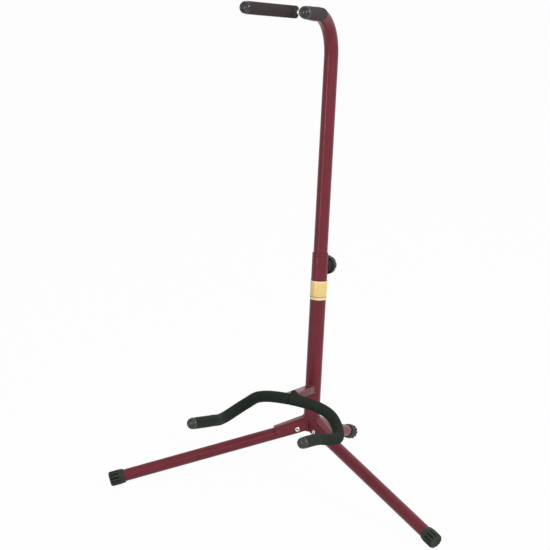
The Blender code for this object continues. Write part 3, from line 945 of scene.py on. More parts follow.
def tube_profile(start: float, end: float, outer: float, bore: float,
                 edge: float) -> List[Point2]:
    """The closed profile of an open tube with rounded rims."""
    return filleted([(start, outer, edge), (end, outer, edge), (end, bore, edge),
                     (start, bore, edge)], closed=True, steps=3)


def prism(name: str, outline: Sequence[Point2], start: float, end: float,
          edge: float = 0.0, stretches: int = 1) -> Mesh:
    """Extrude an outline along X.

    Args:
        name: The mesh's name.
        outline: Points of (y, z).
        start: Where it begins on X.
        end: Where it ends on X.
        edge: How far its sharp edges are rounded.
        stretches: How many equal lengths its sides are made of.

    Returns:
        A closed mesh.
    """
    shape = bmesh.new()
    rings = []
    for step in range(stretches + 1):
        x = start + (end - start) * step / stretches
        rings.append([shape.verts.new((x, y, z)) for y, z in outline])
    shape.faces.new(list(reversed(rings[0])))
    shape.faces.new(rings[-1])
    for near, far in zip(rings, rings[1:]):
        for i in range(len(outline)):
            j = (i + 1) % len(outline)
            shape.faces.new((near[i], near[j], far[j], far[i]))
    bmesh.ops.recalc_face_normals(shape, faces=shape.faces)
    if edge > 0:
        sharp = [e for e in shape.edges if e.calc_face_angle(0) > SHARP_EDGE]
        bmesh.ops.bevel(shape, geom=sharp, offset=edge, offset_type="OFFSET", segments=2,
                        profile=0.5, affect="EDGES", clamp_overlap=True)
    return new_mesh(name, shape)


def channel_outline(half_width: float, top: float, bottom: float, sheet: float,
                    bend: float) -> List[Point2]:
    """The section of an upside-down U: a web on top and two flanges.

    Args:
        half_width: Half of the outer width.
        top: The web's upper face.
        bottom: The flanges' lower edge.
        sheet: The metal's thickness.
        bend: The outer radius of the two bends.

    Returns:
        The outline's points.
    """
    inner = half_width - sheet
    inner_bend = max(bend - sheet, LEAST_HOLLOW)
    right = [(half_width, bottom),
             *arc((half_width - bend, top - bend), bend, 0, math.pi / 2, BEND_STEPS)]
    hollow = [*arc((inner - inner_bend, top - sheet - inner_bend), inner_bend,
                   math.pi / 2, 0, HOLLOW_STEPS), (inner, bottom)]
    left = [(-x, y) for x, y in reversed(right)]
    left_hollow = [(-x, y) for x, y in reversed(hollow)]
    return [*right, *left, *left_hollow, *hollow]


def outer_points(outline: Sequence[Point2]) -> List[Point2]:
    """The outer side of a channel's outline, from one flange's edge to the other's."""
    return list(outline[:2 * (BEND_STEPS + 2)])


def placed(mesh: Mesh, place: Matrix) -> Mesh:
    """Move a mesh's own points into the frame.

    Args:
        mesh: The mesh.
        place: Where it goes.

    Returns:
        The same mesh.
    """
    mesh.transform(place)
    mesh.update()
    return mesh


def pin(name: str, reach: float, radius: float, sides: int) -> Mesh:
    """A closed cylinder along Z, as long on both sides of the origin."""
    profile = [(-reach, 0), (-reach, radius), (reach, radius), (reach, 0)]
    return turned(name, UPRIGHT, profile, False, sides)


def evaluated(name: str, mesh: Mesh, prepare: Callable[[bpy.types.Object], None]) -> Mesh:
    """Run modifiers on a mesh and keep the plain result.

    Args:
        name: The result's name.
        mesh: What the modifiers work on.
        prepare: Adds the modifiers to the object that it is given.

    Returns:
        The resulting mesh.
    """
    holder = bpy.data.objects.new(name + "_work", mesh)
    bpy.context.scene.collection.objects.link(holder)
    prepare(holder)
    seen = holder.evaluated_get(bpy.context.evaluated_depsgraph_get())
    result = bpy.data.meshes.new_from_object(seen)
    result.name = name
    bpy.data.objects.remove(holder)
    return result


def bulk(mesh: Mesh) -> float:
    """The volume inside a closed mesh.

    Args:
        mesh: The mesh, with its faces pointing outwards.

    Returns:
        Its volume in cubic metres.
    """
    shape = bmesh.new()
    shape.from_mesh(mesh)
    volume = shape.calc_volume(signed=True)
    shape.free()
    return volume


def carved(mesh: Mesh, *cutters: Mesh) -> Mesh:
    """Cut meshes away from a mesh, all in one frame, and even out its shading.

    Args:
        mesh: The closed mesh that is cut.
        cutters: The closed meshes whose space it loses.

    Returns:
        The cut mesh.

    Raises:
        RuntimeError: A cut took far more than it should have.
    """
    before = bulk(mesh)
    tools = []
    for cutter in cutters:
        tool = bpy.data.objects.new("cutter", cutter)
        bpy.context.scene.collection.objects.link(tool)
        tools.append(tool)

    def prepare(holder: bpy.types.Object) -> None:
        """Add a Boolean for each cutter and the weighted normals.

        Args:
            holder: The object that gets them.
        """
        for tool in tools:
            step = holder.modifiers.new("cut", "BOOLEAN")
            step.object = tool
            step.operation = "DIFFERENCE"
            step.solver = "MANIFOLD"
        holder.modifiers.new("normals", "WEIGHTED_NORMAL").keep_sharp = True

    mesh.shade_smooth()
    mesh.set_sharp_from_angle(angle=SMOOTH_ANGLE)
    result = evaluated(mesh.name, mesh, prepare)
    for tool in tools:
        bpy.data.objects.remove(tool)
    if bulk(result) < LEAST_LEFT * before:
        raise RuntimeError(f"the cut through {result.name} left too little of it")
    return result


class Trees:
    """The Geometry Nodes trees: a bar along a route, a weld bead and a foam skin."""

    SCALE_SIZES = (0.85, 1.15)
    SCALE_LENGTH = 0.8

    def __init__(self) -> None:
        """Build the three trees."""
        self.bar = self._bar()
        self.bead = self._bead()
        self.skin = self._skin()

    @staticmethod
    def _close(w: Wiring, given: Node, made: Node, shape: Plug) -> None:
        """End a tree in Realize Instances and Set Material.

        Args:
            w: The tree's wiring.
            given: Its input node.
            made: Its output node.
            shape: The geometry that it has made.
        """
        real = w.add("GeometryNodeRealizeInstances", {"Geometry": shape}).outputs[0]
        dressed = w.add("GeometryNodeSetMaterial", {
            "Geometry": real, "Material": given.outputs["Material"]}).outputs[0]
        w.feed(made.inputs["Geometry"], dressed)

    def _bar(self) -> Tree:
        """A round bar along the edges of the mesh that it gets.

        Returns:
            The tree.
        """
        tree, w, given, made = new_group("bar_along_route", "GeometryNodeTree", {
            "Geometry": ("NodeSocketGeometry", None),
            "Radius": ("NodeSocketFloat", 4 * MM),
            "Sides": ("NodeSocketInt", ROD_SIDES),
            "Material": ("NodeSocketMaterial", None),
        }, {"Geometry": "NodeSocketGeometry"})
        line = w.add("GeometryNodeMeshToCurve", {"Mesh": given.outputs["Geometry"]})
        ring = w.add("GeometryNodeCurvePrimitiveCircle", {
            "Resolution": given.outputs["Sides"], "Radius": given.outputs["Radius"]})
        bar = w.add("GeometryNodeCurveToMesh", {
            "Curve": line.outputs[0], "Profile Curve": ring.outputs[0], "Fill Caps": True})
        self._close(w, given, made, bar.outputs[0])
        return tree

    def _bead(self) -> Tree:
        """A weld bead: overlapping scales along the mesh's edges.

        Returns:
            The tree.
        """
        tree, w, given, made = new_group("weld_bead", "GeometryNodeTree", {
            "Geometry": ("NodeSocketGeometry", None),
            "Radius": ("NodeSocketFloat", 1.2 * MM),
            "Spacing": ("NodeSocketFloat", 0.8 * MM),
            "Seed": ("NodeSocketInt", 7),
            "Material": ("NodeSocketMaterial", None),
        }, {"Geometry": "NodeSocketGeometry"})
        line = w.add("GeometryNodeMeshToCurve", {"Mesh": given.outputs["Geometry"]})
        spaced = w.add("GeometryNodeResampleCurve", {
            "Curve": line.outputs[0], "Length": given.outputs["Spacing"]}, mode="LENGTH")
        scale = w.add("GeometryNodeMeshUVSphere", {
            "Segments": 10, "Rings": 6, "Radius": given.outputs["Radius"]})
        tangent = w.add("GeometryNodeInputTangent").outputs[0]
        turn = w.add("FunctionNodeAlignRotationToVector", {"Vector": tangent}, axis="Z")
        swell = w.add("FunctionNodeRandomValue", {
            "Seed": given.outputs["Seed"]}, data_type="FLOAT")
        w.feed(swell.inputs[2], self.SCALE_SIZES[0])
        w.feed(swell.inputs[3], self.SCALE_SIZES[1])
        width = w.add("ShaderNodeCombineXYZ", {
            0: swell.outputs[1], 1: swell.outputs[1], 2: self.SCALE_LENGTH}).outputs[0]
        scales = w.add("GeometryNodeInstanceOnPoints", {
            "Points": spaced.outputs[0], "Instance": scale.outputs[0],
            "Rotation": turn.outputs[0], "Scale": width})
        self._close(w, given, made, scales.outputs[0])
        return tree

    def _skin(self) -> Tree:
        """An uneven foam skin: the surface moved along its normals.

        Returns:
            The tree.
        """
        tree, w, given, made = new_group("foam_skin", "GeometryNodeTree", {
            "Geometry": ("NodeSocketGeometry", None),
            "Lump Size": ("NodeSocketFloat", 16 * MM),
            "Lump Height": ("NodeSocketFloat", 0.25 * MM),
            "Pore Size": ("NodeSocketFloat", 1.4 * MM),
            "Pore Height": ("NodeSocketFloat", 0.16 * MM),
            "Material": ("NodeSocketMaterial", None),
        }, {"Geometry": "NodeSocketGeometry"})
        place = w.add("GeometryNodeInputPosition").outputs[0]
        heights = []
        for label in ("Lump", "Pore"):
            scale = w.math("DIVIDE", 1.0, given.outputs[label + " Size"])
            noise = w.add("ShaderNodeTexNoise", {"Vector": place, "Scale": scale})
            centred = w.math("SUBTRACT", noise.outputs[0], 0.5)
            heights.append(w.math("MULTIPLY", centred, given.outputs[label + " Height"]))
        height = w.math("ADD", *heights)
        normal = w.add("GeometryNodeInputNormal").outputs[0]
        offset = w.add("ShaderNodeVectorMath", {0: normal}, operation="SCALE")
        w.feed(offset.inputs["Scale"], height)
        moved = w.add("GeometryNodeSetPosition", {
            "Geometry": given.outputs["Geometry"], "Offset": offset.outputs[0]})
        self._close(w, given, made, moved.outputs[0])
        return tree

    @staticmethod
    def run(tree: Tree, name: str, mesh: Mesh, **values: object) -> Mesh:
        """Send a mesh through a tree and keep the plain result.

        Args:
            tree: One of the trees.
            name: The result's name.
            mesh: What goes in as Geometry.
            values: The tree's other inputs, with underscores for spaces in their names.

        Returns:
            The resulting mesh.
        """
        sockets = {item.name: item.identifier for item in tree.interface.items_tree
                   if item.item_type == "SOCKET" and item.in_out == "INPUT"}

        def prepare(holder: bpy.types.Object) -> None:
            """Add the tree as a modifier and set its inputs.

            Args:
                holder: The object that gets it.
            """
            step = holder.modifiers.new("nodes", "NODES")
            step.node_group = tree
            for key, value in values.items():
                step[sockets[key.replace("_", " ")]] = value

        return evaluated(name, mesh, prepare)


def line_mesh(name: str, *lines: Sequence[Vector]) -> Mesh:
    """A mesh of edges along one or more lines.

    Args:
        name: The mesh's name.
        lines: Each line's points.

    Returns:
        The mesh.
    """
    points: List[Tuple[float, ...]] = []
    edges: List[Tuple[int, int]] = []
    for line in lines:
        first = len(points)
        points += [tuple(p) for p in line]
        edges += [(i, i + 1) for i in range(first, len(points) - 1)]
    mesh = bpy.data.meshes.new(name)
    mesh.from_pydata(points, edges, [])
    return mesh


class Workshop:
    """Hands finished meshes over to the scene and the frame."""

    BEAD_SEED = 7
    BEAD_SPACING = 1.25

    def __init__(self) -> None:
        """Make the wardrobe and the trees."""
        self.wardrobe = Wardrobe()
        self.trees = Trees()

    def add(self, name: str, mesh: Mesh, finish: Finish, body: Body,
            nodes: Sequence[str] = ()) -> bpy.types.Object:
        """Make a piece of a mesh that lies in the frame.

        Args:
            name: The piece's name.
            mesh: Its mesh, placed.
            finish: Its finish.
            body: The body that it rides on.
            nodes: The CAD nodes that it stands for.

        Returns:
            The piece.
        """
        mesh.name = name
        mesh.materials.clear()
        mesh.materials.append(self.wardrobe.of(finish))
        mesh.shade_smooth()
        mesh.set_sharp_from_angle(angle=SMOOTH_ANGLE)
        piece = bpy.data.objects.new(name, mesh)
        bpy.context.scene.collection.objects.link(piece)
        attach(piece, body.value)
        if nodes:
            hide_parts(*nodes)
        LOG.info("%s: %d faces on %s", name, len(mesh.polygons), body.value)
        return piece

    def bead(self, name: str, lines: Sequence[Sequence[Vector]], body: Body,
             radius: float) -> bpy.types.Object:
        """Lay painted weld beads along lines in the frame.

        Args:
            name: The piece's name.
            lines: The lines' points.
            body: The body that it rides on.
            radius: The bead's radius.

        Returns:
            The piece.
        """
        mesh = self.trees.run(self.trees.bead, name, line_mesh(name + "_route", *lines),
                              Radius=radius, Spacing=self.BEAD_SPACING * radius,
                              Seed=self.BEAD_SEED, Material=self.wardrobe.of(PAINT))
        return self.add(name, mesh, PAINT, body)


def joint_of(name: str) -> Dict[str, object]:
    """The frame's joint with that name."""
    return next(joint for joint in frame["joints"] if joint["name"] == name)


def axes(origin: Vector, x: Vector, y: Vector, z: Vector) -> Matrix:
    """The matrix of a frame with those axes."""
    return Matrix.Translation(origin) @ Matrix((x, y, z)).transposed().to_4x4()


def facing(origin: Vector, axis: Vector) -> Matrix:
    """A frame whose X stays as it is and whose Z is an axis square to it."""
    across = Vector((1, 0, 0))
    return axes(origin, across, axis.cross(across), axis)


@dataclass
class LowerMast:
    """The fixed tube with its plug, collar and label band."""

    radius: float = 12.5 * MM
    wall: float = 1.1 * MM
    bottom: float = -9.5 * MM
    top: float = 272.5 * MM
    rim_edge: float = 0.35 * MM
    tube_step: float = 12 * MM
    collar_height: float = 4.0 * MM
    collar_lip: float = 0.15 * MM
    collar_grip: float = 0.1 * MM
    collar_edge: float = 0.9 * MM
    label_bottom: float = 203.2 * MM
    label_height: float = 30.0 * MM
    label_thickness: float = 0.25 * MM
    label_sides: int = 192
    lap_angle: float = 0.35
    plug_flange: float = 1.2 * MM
    plug_taper: float = 0.6 * MM
    plug_depth: float = 9.0 * MM

    def __post_init__(self) -> None:
        """Find the mast's frame: Z is its axis, and its origin is where the legs' axes meet."""
        axis = Vector(joint_of("mast_height")["axis"]).normalized()
        low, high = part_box("label_band")
        middle = self.label_bottom + self.label_height / 2
        self.hub = facing((low + high) / 2 - axis * middle, axis)

    def space(self) -> Mesh:
        """A cutter as thick as the mast."""
        room = pin("mast_space", 8 * self.radius, self.radius + GAP, FINE_SIDES)
        return placed(room, self.hub)

    def on_surface(self, place: Matrix, y: float, z: float, lift: float) -> Optional[Vector]:
        """Where a line along X of some frame meets the mast.

        Args:
            place: The frame, with X pointing off the mast.
            y: The line's place on its Y axis.
            z: The line's place on its Z axis.
            lift: How far outside the mast's surface the point lies.

        Returns:
            The point, or None if the line misses the mast.
        """
        into = self.hub.inverted() @ place
        start = into @ Vector((0, y, z))
        step = into.to_3x3() @ Vector((1, 0, 0))
        a = step.x ** 2 + step.y ** 2
        b = 2 * (start.x * step.x + start.y * step.y)
        c = start.x ** 2 + start.y ** 2 - (self.radius + lift) ** 2
        root = b * b - 4 * a * c
        if root < 0:
            return None
        return self.hub @ (start + step * ((math.sqrt(root) - b) / (2 * a)))

    def trace(self, place: Matrix, section: Sequence[Point2]) -> List[Vector]:
        """Follow the line on which a sheet's outer side meets the mast.

        Args:
            place: The sheet's frame, with X along it.
            section: The outer side's points of (y, z).

        Returns:
            Close points, just off the mast.
        """
        line: List[Vector] = []
        for (y, z), (v, u) in zip(section, section[1:]):
            count = max(1, round(math.hypot(v - y, u - z) / TRACE_STEP))
            for i in range(count):
                share = i / count
                spot = self.on_surface(place, y + (v - y) * share, z + (u - z) * share,
                                       TRACE_LIFT)
                if spot is not None:
                    line.append(spot)
        return line

    def build(self, shop: Workshop) -> None:
        """Make the tube, the plug, the collar and the label film.

        Args:
            shop: Where pieces are made.
        """
        bore = self.radius - self.wall
        tube = turned("lower_mast", UPRIGHT, stationed(tube_profile(
            self.bottom, self.top, self.radius, bore, self.rim_edge), self.tube_step, True),
            True)
        shop.add("lower_mast", placed(tube, self.hub), PAINT, Body.MAST_BASE,
                 ["lower_mast_tube"])

        seat = self.bottom - GAP
        plug = turned("mast_plug", UPRIGHT, filleted([
            (seat + self.plug_depth, 0, 0),
            (seat + self.plug_depth, bore - GAP, 0.8 * MM),
            (seat, bore - GAP, 0.1 * MM), (seat, self.radius, 0.4 * MM),
            (seat - self.plug_flange, self.radius - self.plug_taper, 1.1 * MM),
            (seat - self.plug_flange, 0, 0)], closed=False), False)
        shop.add("mast_plug", placed(plug, self.hub), GRAINED, Body.MAST_BASE,
                 ["mast_bottom_plug"])

        foot = self.top + GAP
        inner = bore - self.collar_grip
        outer = self.radius + self.collar_lip
        collar = turned("mast_ring", UPRIGHT, filleted([
            (foot + self.collar_height, inner, 0.4 * MM),
            (foot + self.collar_height, outer, self.collar_edge),
            (foot, outer, 0.4 * MM), (foot, inner, 0.2 * MM)], closed=True), True)
        shop.add("mast_ring", placed(collar, self.hub), PAINT, Body.MAST_BASE,
                 ["mast_collar"])
        self.build_label(shop)

    def build_label(self, shop: Workshop) -> None:
        """Make the bare film, with the step of its lapped end at the back.

        Args:
            shop: Where pieces are made.
        """
        inner = self.radius + GAP
        lap = self.label_thickness

        def step_at_back(angle: float, along: float, radius: float) -> float:
            """Lift the film where its end lies on its start.

            Args:
                angle: The angle round the mast.
                along: The height; not used.
                radius: The plain radius.

            Returns:
                The radius there.
            """
            past = (angle - math.pi / 2) / self.lap_angle
            lapped = 1.0 if 0 <= past <= 1 else 0.0
            return radius + lap * lapped * (1.0 if radius > inner + lap / 2 else 0.0)

        film = turned("label_film", UPRIGHT, tube_profile(
            self.label_bottom, self.label_bottom + self.label_height, inner + lap, inner,
            0.1 * MM), True, self.label_sides, step_at_back)
        shop.add("label_film", placed(film, self.hub), GOLD_FILM, Body.MAST_BASE,
                 ["label_band"])


@dataclass
class Clamp:
    """The boss on the mast's back, the bolt in it and the notched knob."""

    bolt_radius: float = 4.0 * MM
    thread_pitch: float = 1.25 * MM
    thread_depth: float = 0.35 * MM
    tube_play: float = 0.4 * MM
    boss_radius: float = 7.5 * MM
    boss_reach: float = 20.5 * MM
    weld_out: float = 0.3 * MM
    weld_lift: float = 0.2 * MM
    weld_radius: float = 1.1 * MM
    weld_steps: int = 48
    knob_back: float = 34.5 * MM
    knob_radius: float = 15.1 * MM
    knob_notches: int = 8
    knob_sides: int = 192
    notch_depth: float = 0.8 * MM
    notch_sharpness: int = 8
    notch_band: Point2 = (0.6, 0.95)
    rim_length: float = 10.5 * MM
    skirt_radius: float = 9.3 * MM
    skirt_start: float = 14.8 * MM
    skirt_play: float = 0.4 * MM
    knob_floor: float = 3.2 * MM
    dish_depth: float = 0.9 * MM
    dish_band: Point2 = (0.52, 0.62)

    def frame(self) -> Matrix:
        """The clamp's frame, with Z pointing off the mast."""
        joint = joint_of("knob_turn")
        return facing(Vector(joint["pos_m"]), Vector(joint["axis"]).normalized())

    def build(self, shop: Workshop, mast: LowerMast) -> None:
        """Make the boss with its weld, the bolt and the knob.

        Args:
            shop: Where pieces are made.
            mast: The mast that carries them.
        """
        place = self.frame()
        bore = self.bolt_radius + GAP
        boss = turned("clamp_socket", UPRIGHT, tube_profile(
            mast.radius / 2, self.boss_reach, self.boss_radius, bore, 0.5 * MM), True,
            ROUND_SIDES)
        boss = carved(placed(boss, place), mast.space())
        shop.add("clamp_socket", boss, PAINT, Body.MAST_BASE, ["clamp_boss"])

        along = place @ Matrix.Rotation(-math.pi / 2, 4, "Y")
        reach = self.boss_radius + self.weld_out
        turns = [math.tau * i / self.weld_steps for i in range(self.weld_steps + 1)]
        spots = [mast.on_surface(along, reach * math.cos(angle), reach * math.sin(angle),
                                 self.weld_lift) for angle in turns]
        saddle = [spot for spot in spots if spot is not None]
        shop.bead("clamp_weld", [saddle], Body.MAST_BASE, self.weld_radius)
        self.build_bolt(shop, mast, place)
        self.build_knob(shop, place)

    def build_bolt(self, shop: Workshop, mast: LowerMast, place: Matrix) -> None:
        """Make the threaded bolt.

        Args:
            shop: Where pieces are made.
            mast: The mast, whose inner tube the bolt stops short of.
            place: The clamp's frame.
        """
        tip = mast.radius - mast.wall - self.tube_play + GAP
        head = self.knob_back - self.knob_floor - GAP
        root = self.bolt_radius - self.thread_depth
        profile: List[Point2] = [(tip, 0), (tip, root)]
        for i in range(math.floor((head - tip) / self.thread_pitch)):
            start = tip + self.thread_pitch * (i + 0.25)
            profile += [(start, root), (start + self.thread_pitch / 2, self.bolt_radius)]
        profile += [(head, root), (head, 0)]
        bolt = turned("clamp_screw", UPRIGHT, profile, False, 48)
        shop.add("clamp_screw", placed(bolt, place), PLATED, Body.CLAMP, ["clamp_bolt"])

    def build_knob(self, shop: Workshop, place: Matrix) -> None:
        """Make the knob: a notched rim, a skirt round the boss and a dished back.

        Args:
            shop: Where pieces are made.
            place: The clamp's frame.
        """
        back = self.knob_back
        start = self.boss_reach + GAP
        rim = back - self.rim_length
        inside = self.boss_radius + self.skirt_play
        bore = self.bolt_radius + GAP
        dish, lip = self.dish_band
        outline = filleted([
            (back - self.dish_depth, 0, 0),
            (back - self.dish_depth, self.knob_radius * dish, 0.9 * MM),
            (back, self.knob_radius * lip, 0.9 * MM),
            (back, self.knob_radius, 2.0 * MM),
            (rim, self.knob_radius, 1.8 * MM),
            (rim - 0.6 * MM, self.skirt_radius + 0.6 * MM, 1.2 * MM),
            (self.skirt_start, self.skirt_radius, 0.5 * MM),
            (self.skirt_start, inside, 0.3 * MM),
            (start, inside, 0.2 * MM),
            (start, bore, 0.3 * MM),
            (back - self.knob_floor, bore, 0.1 * MM),
            (back - self.knob_floor, 0, 0)], closed=False, steps=6)

        def notches(angle: float, along: float, radius: float) -> float:
            """Sink finger notches into the rim, and leave the middle round.

            Args:
                angle: The angle round the knob.
                along: The distance off the mast; not used.
                radius: The plain radius.

            Returns:
                The radius there.
            """
            low, high = self.notch_band
            share = max(0.0, min(1.0, (radius / self.knob_radius - low) / (high - low)))
            wave = (1 - math.cos(self.knob_notches * angle)) / 2
            return radius - share * self.notch_depth * wave ** self.notch_sharpness

        knob = turned("clamp_handle", UPRIGHT, outline, False, self.knob_sides, notches)
        shop.add("clamp_handle", placed(knob, place), GRAINED, Body.CLAMP, ["clamp_knob"])


@dataclass
class Leg:
    """One leg: its pressed channel, its hollow rivet, its tube and its rubber foot."""

    side: Side
    body: Body
    mast: LowerMast
    radius: float = 9.5 * MM
    wall: float = 1.2 * MM
    tube_step: float = 20 * MM
    channel_tail: float = 35.0 * MM
    tail_slant: Tuple[Point2, ...] = ((-8.0, -0.1), (-4.0, 1.6), (0.1, 6.0))
    sheet: float = 1.6 * MM
    side_play: float = 0.6 * MM
    bend: float = 5.0 * MM
    flange_drop: float = 6.0 * MM
    hub_rise: float = 4.2 * MM
    round_from: float = 3.0 * MM
    round_share: float = 0.32
    stretches: int = 12
    sheet_edge: float = 0.35 * MM
    weld_radius: float = 1.7 * MM
    seam_out: float = 0.1 * MM
    seam_span: Tuple[int, int] = (-9, 6)
    rivet_radius: float = 3.0 * MM
    rivet_bore: float = 1.3 * MM
    rivet_roll: float = 0.9 * MM
    rivet_head_radius: float = 3.8 * MM
    rivet_head_height: float = 1.1 * MM
    foot_radius: float = 11.8 * MM
    mouth_radius: float = 11.0 * MM
    foot_length: float = 24.0 * MM
    foot_taper: float = 7.0 * MM
    foot_floor: float = 5.0 * MM
    foot_edge: float = 2.4 * MM
    foot_round: float = 3.4 * MM
    foot_flat: float = 0.5 * MM
    foot_step: float = 0.6 * MM
    foot_dish: Tuple[Point2, ...] = ((0.0, 0.70), (0.25, 0.67), (0.7, 0.62), (0.8, 0.3),
                                     (0.8, 0.0))
    foot_ribs: int = 12
    rib_sides: int = 16
    groove_start: float = 7.5 * MM
    groove_width: float = 2.8 * MM
    groove_depth: float = 1.3 * MM
    groove_ease: float = 1.5 * MM
    groove_inner: float = 0.72

    def __post_init__(self) -> None:
        """Find the leg's frame at its rivet: X points out along the leg and Z is up."""
        joint = joint_of(self.side.value + "_leg_fold")
        hub = self.mast.hub
        pivot = Vector(joint["pos_m"])
        out = (pivot - hub.translation).normalized()
        across = Vector(joint["axis"]).normalized()
        self.place = axes(pivot, out, across, out.cross(across))
        self.pivot_reach = (pivot - hub.translation).length
        self.half = self.radius + self.side_play + self.sheet
        ahead = (hub.inverted() @ self.place).to_3x3() @ Vector((1, 0, 0))
        self.turn = math.atan2(ahead.y, ahead.x)
        self.rivet_frame = self.place @ Matrix.Rotation(-math.pi / 2, 4, "X")
        self.crosswise = self.place @ axes(Vector((0, 0, 0)), Vector((0, -1, 0)),
                                           Vector((1, 0, 0)), Vector((0, 0, 1)))

    def outer_end(self) -> float:
        """Where the foot has to end for its small flat to lie on the floor.

        Returns:
            The distance from the rivet, along the leg.
        """
        slope = -self.place.col[0].z
        level = math.sqrt(1 - slope * slope)
        lowest = self.foot_radius * level - self.foot_edge * (level + slope - 1)
        height = self.mast.hub.translation.z - lowest + self.foot_flat
        return height / slope - self.pivot_reach

    def build(self, shop: Workshop) -> None:
        """Make the channel, the rivet, the tube and the foot.

        Args:
            shop: Where pieces are made.
        """
        end = self.outer_end()
        self.build_channel(shop)
        self.build_rivet(shop)
        self.build_tube(shop, end - self.foot_floor - GAP)
        self.build_foot(shop, end)

    def rivet_space(self) -> Mesh:
        """A cutter as thick as the rivet's shank."""
        shank = pin("rivet_space", 2 * self.half, self.rivet_radius + GAP, 48)
        return placed(shank, self.rivet_frame)

    def wedges(self) -> List[Mesh]:
        """Make two cutters for all that lies outside this leg's third of the mast.

        Returns:
            The cutters.
        """
        block = 4 * self.half
        cutters = []
        for sign in (1, -1):
            low, high = sorted((-sign * GAP / 2, sign * block))
            square = [(low, -block), (high, -block), (high, block), (low, block)]
            wedge = self.mast.hub @ Matrix.Rotation(self.turn + sign * HALF_THIRD, 4, "Z")
            cutters.append(placed(prism("wedge", square, -block, block), wedge))
        return cutters

    def slant_space(self) -> Mesh:
        """Make a cutter that slants the flanges' outer ends.

        Returns:
            The cutter.
        """
        room = 2 * self.half
        tail = self.channel_tail
        slant = [(tail + x * MM, z * MM - self.flange_drop) for x, z in self.tail_slant]
        below = tail + (self.tail_slant[0][0] - 1) * MM
        outline = [(below, -room), *slant, (room + tail, 0), (room + tail, -room)]
        return placed(prism("slant", outline, -room, room), self.crosswise)

    def build_channel(self, shop: Workshop) -> None:
        """Make the channel and the welds that hold it to the mast.

        Args:
            shop: Where pieces are made.
        """
        top = self.radius + GAP + self.sheet
        outline = channel_outline(self.half, top, -self.flange_drop, self.sheet, self.bend)
        channel = prism("channel", outline, -self.pivot_reach, self.channel_tail,
                        self.sheet_edge, self.stretches)
        span = self.channel_tail + self.pivot_reach
        for vertex in channel.vertices:
            inwards = (self.channel_tail - vertex.co.x) / span
            height = max(0.0, vertex.co.z - self.round_from) / (top - self.round_from)
            vertex.co.y *= 1 - self.round_share * (1 - inwards) * height ** 2
            if vertex.co.z > 0:
                vertex.co.z *= 1 + inwards * self.hub_rise / top
        channel = carved(placed(channel, self.place), self.mast.space(), *self.wedges(),
                         self.rivet_space(), self.slant_space())
        name = self.side.value
        shop.add(name + "_channel", channel, PAINT, Body.MAST_BASE, [name + "_leg_channel"])

        rise = (span - self.mast.radius) / span * self.hub_rise / top
        section = [(y, z * (1 + rise) if z > 0 else z) for y, z in outer_points(outline)]
        path = [spot for spot in self.mast.trace(self.place, section) if self.owns(spot)]
        corner = Matrix.Rotation(self.turn + HALF_THIRD, 4, "Z") @ Vector(
            ((self.half + self.seam_out) / math.sin(HALF_THIRD), 0, 0))
        seam = [self.mast.hub @ (corner + Vector((0, 0, z * MM)))
                for z in range(*self.seam_span)]
        shop.bead(name + "_channel_weld", [path, seam], Body.MAST_BASE, self.weld_radius)

    def owns(self, spot: Vector) -> bool:
        """Whether a point on the mast lies in this leg's third of it."""
        local = self.mast.hub.inverted() @ spot
        return math.cos(math.atan2(local.y, local.x) - self.turn) >= math.cos(HALF_THIRD)

    def build_rivet(self, shop: Workshop) -> None:
        """Make the hollow rivet with its rolled rims.

        Args:
            shop: Where pieces are made.
        """
        head = self.half + GAP
        outside = head + self.rivet_head_height
        roll = self.rivet_roll
        half = [(0.0, self.rivet_bore, 0), (outside - roll, self.rivet_bore, 0.8 * MM),
                (outside, self.rivet_bore + roll, 0.5 * MM),
                (outside - 0.1 * MM, self.rivet_head_radius - roll, 0.6 * MM),
                (head + 0.35 * MM, self.rivet_head_radius, 0.3 * MM),
                (head, self.rivet_head_radius - 0.2 * MM, 0.1 * MM),
                (head, self.rivet_radius, 0.1 * MM)]
        other = [(-along, radius, edge) for along, radius, edge in reversed(half[1:])]
        profile = filleted([*half, *other], closed=True, steps=5)
        rivet = turned("rivet", UPRIGHT, profile, True, ROUND_SIDES)
        name = self.side.value
        shop.add(name + "_rivet", placed(rivet, self.rivet_frame), PLATED, Body.MAST_BASE,
                 [name + "_leg_rivet"])

    def build_tube(self, shop: Workshop, end: float) -> None:
        """Make the leg's tube, with its round inner end and the rivet's hole.

        Args:
            shop: Where pieces are made.
            end: Where the tube ends in the foot.
        """
        tube = placed(turned("leg", OUTWARD, stationed(tube_profile(
            -self.radius, end, self.radius, self.radius - self.wall, 0.3 * MM),
            self.tube_step, True), True), self.place)
        room = 2 * self.radius
        nose = [(0, room), *arc((0, 0), self.radius - GAP, math.pi / 2, 3 * math.pi / 2, 24),
                (0, -room), (-room, -room), (-room, room)]
        outside = placed(prism("nose", nose, -room, room), self.crosswise)
        tube = carved(tube, outside, self.rivet_space())
        name = self.side.value
        shop.add(name + "_leg_pipe", tube, PAINT, self.body, [name + "_leg_tube"])

    def build_foot(self, shop: Workshop, end: float) -> None:
        """Make the ribbed foot, with the small flat that stands on the floor.

        Args:
            shop: Where pieces are made.
            end: Where the foot ends.
        """
        length = self.foot_length
        bore = self.radius + GAP
        start = self.groove_start
        least = self.foot_radius * self.groove_inner
        rim = arc((length - self.foot_round, self.foot_radius - self.foot_round),
                  self.foot_round, math.pi / 2, 0, 10)
        profile = [
            (length - self.foot_floor, 0), (length - self.foot_floor, bore),
            (0.5 * MM, bore), (0.15 * MM, bore + 0.15 * MM),
            (0.0, bore + 0.45 * MM), (0.0, self.mouth_radius - 0.5 * MM),
            (0.15 * MM, self.mouth_radius - 0.15 * MM), (0.5 * MM, self.mouth_radius),
            (self.foot_taper, self.foot_radius), *rim,
            *[(length - sunk * MM, self.foot_radius * share)
              for sunk, share in self.foot_dish]]

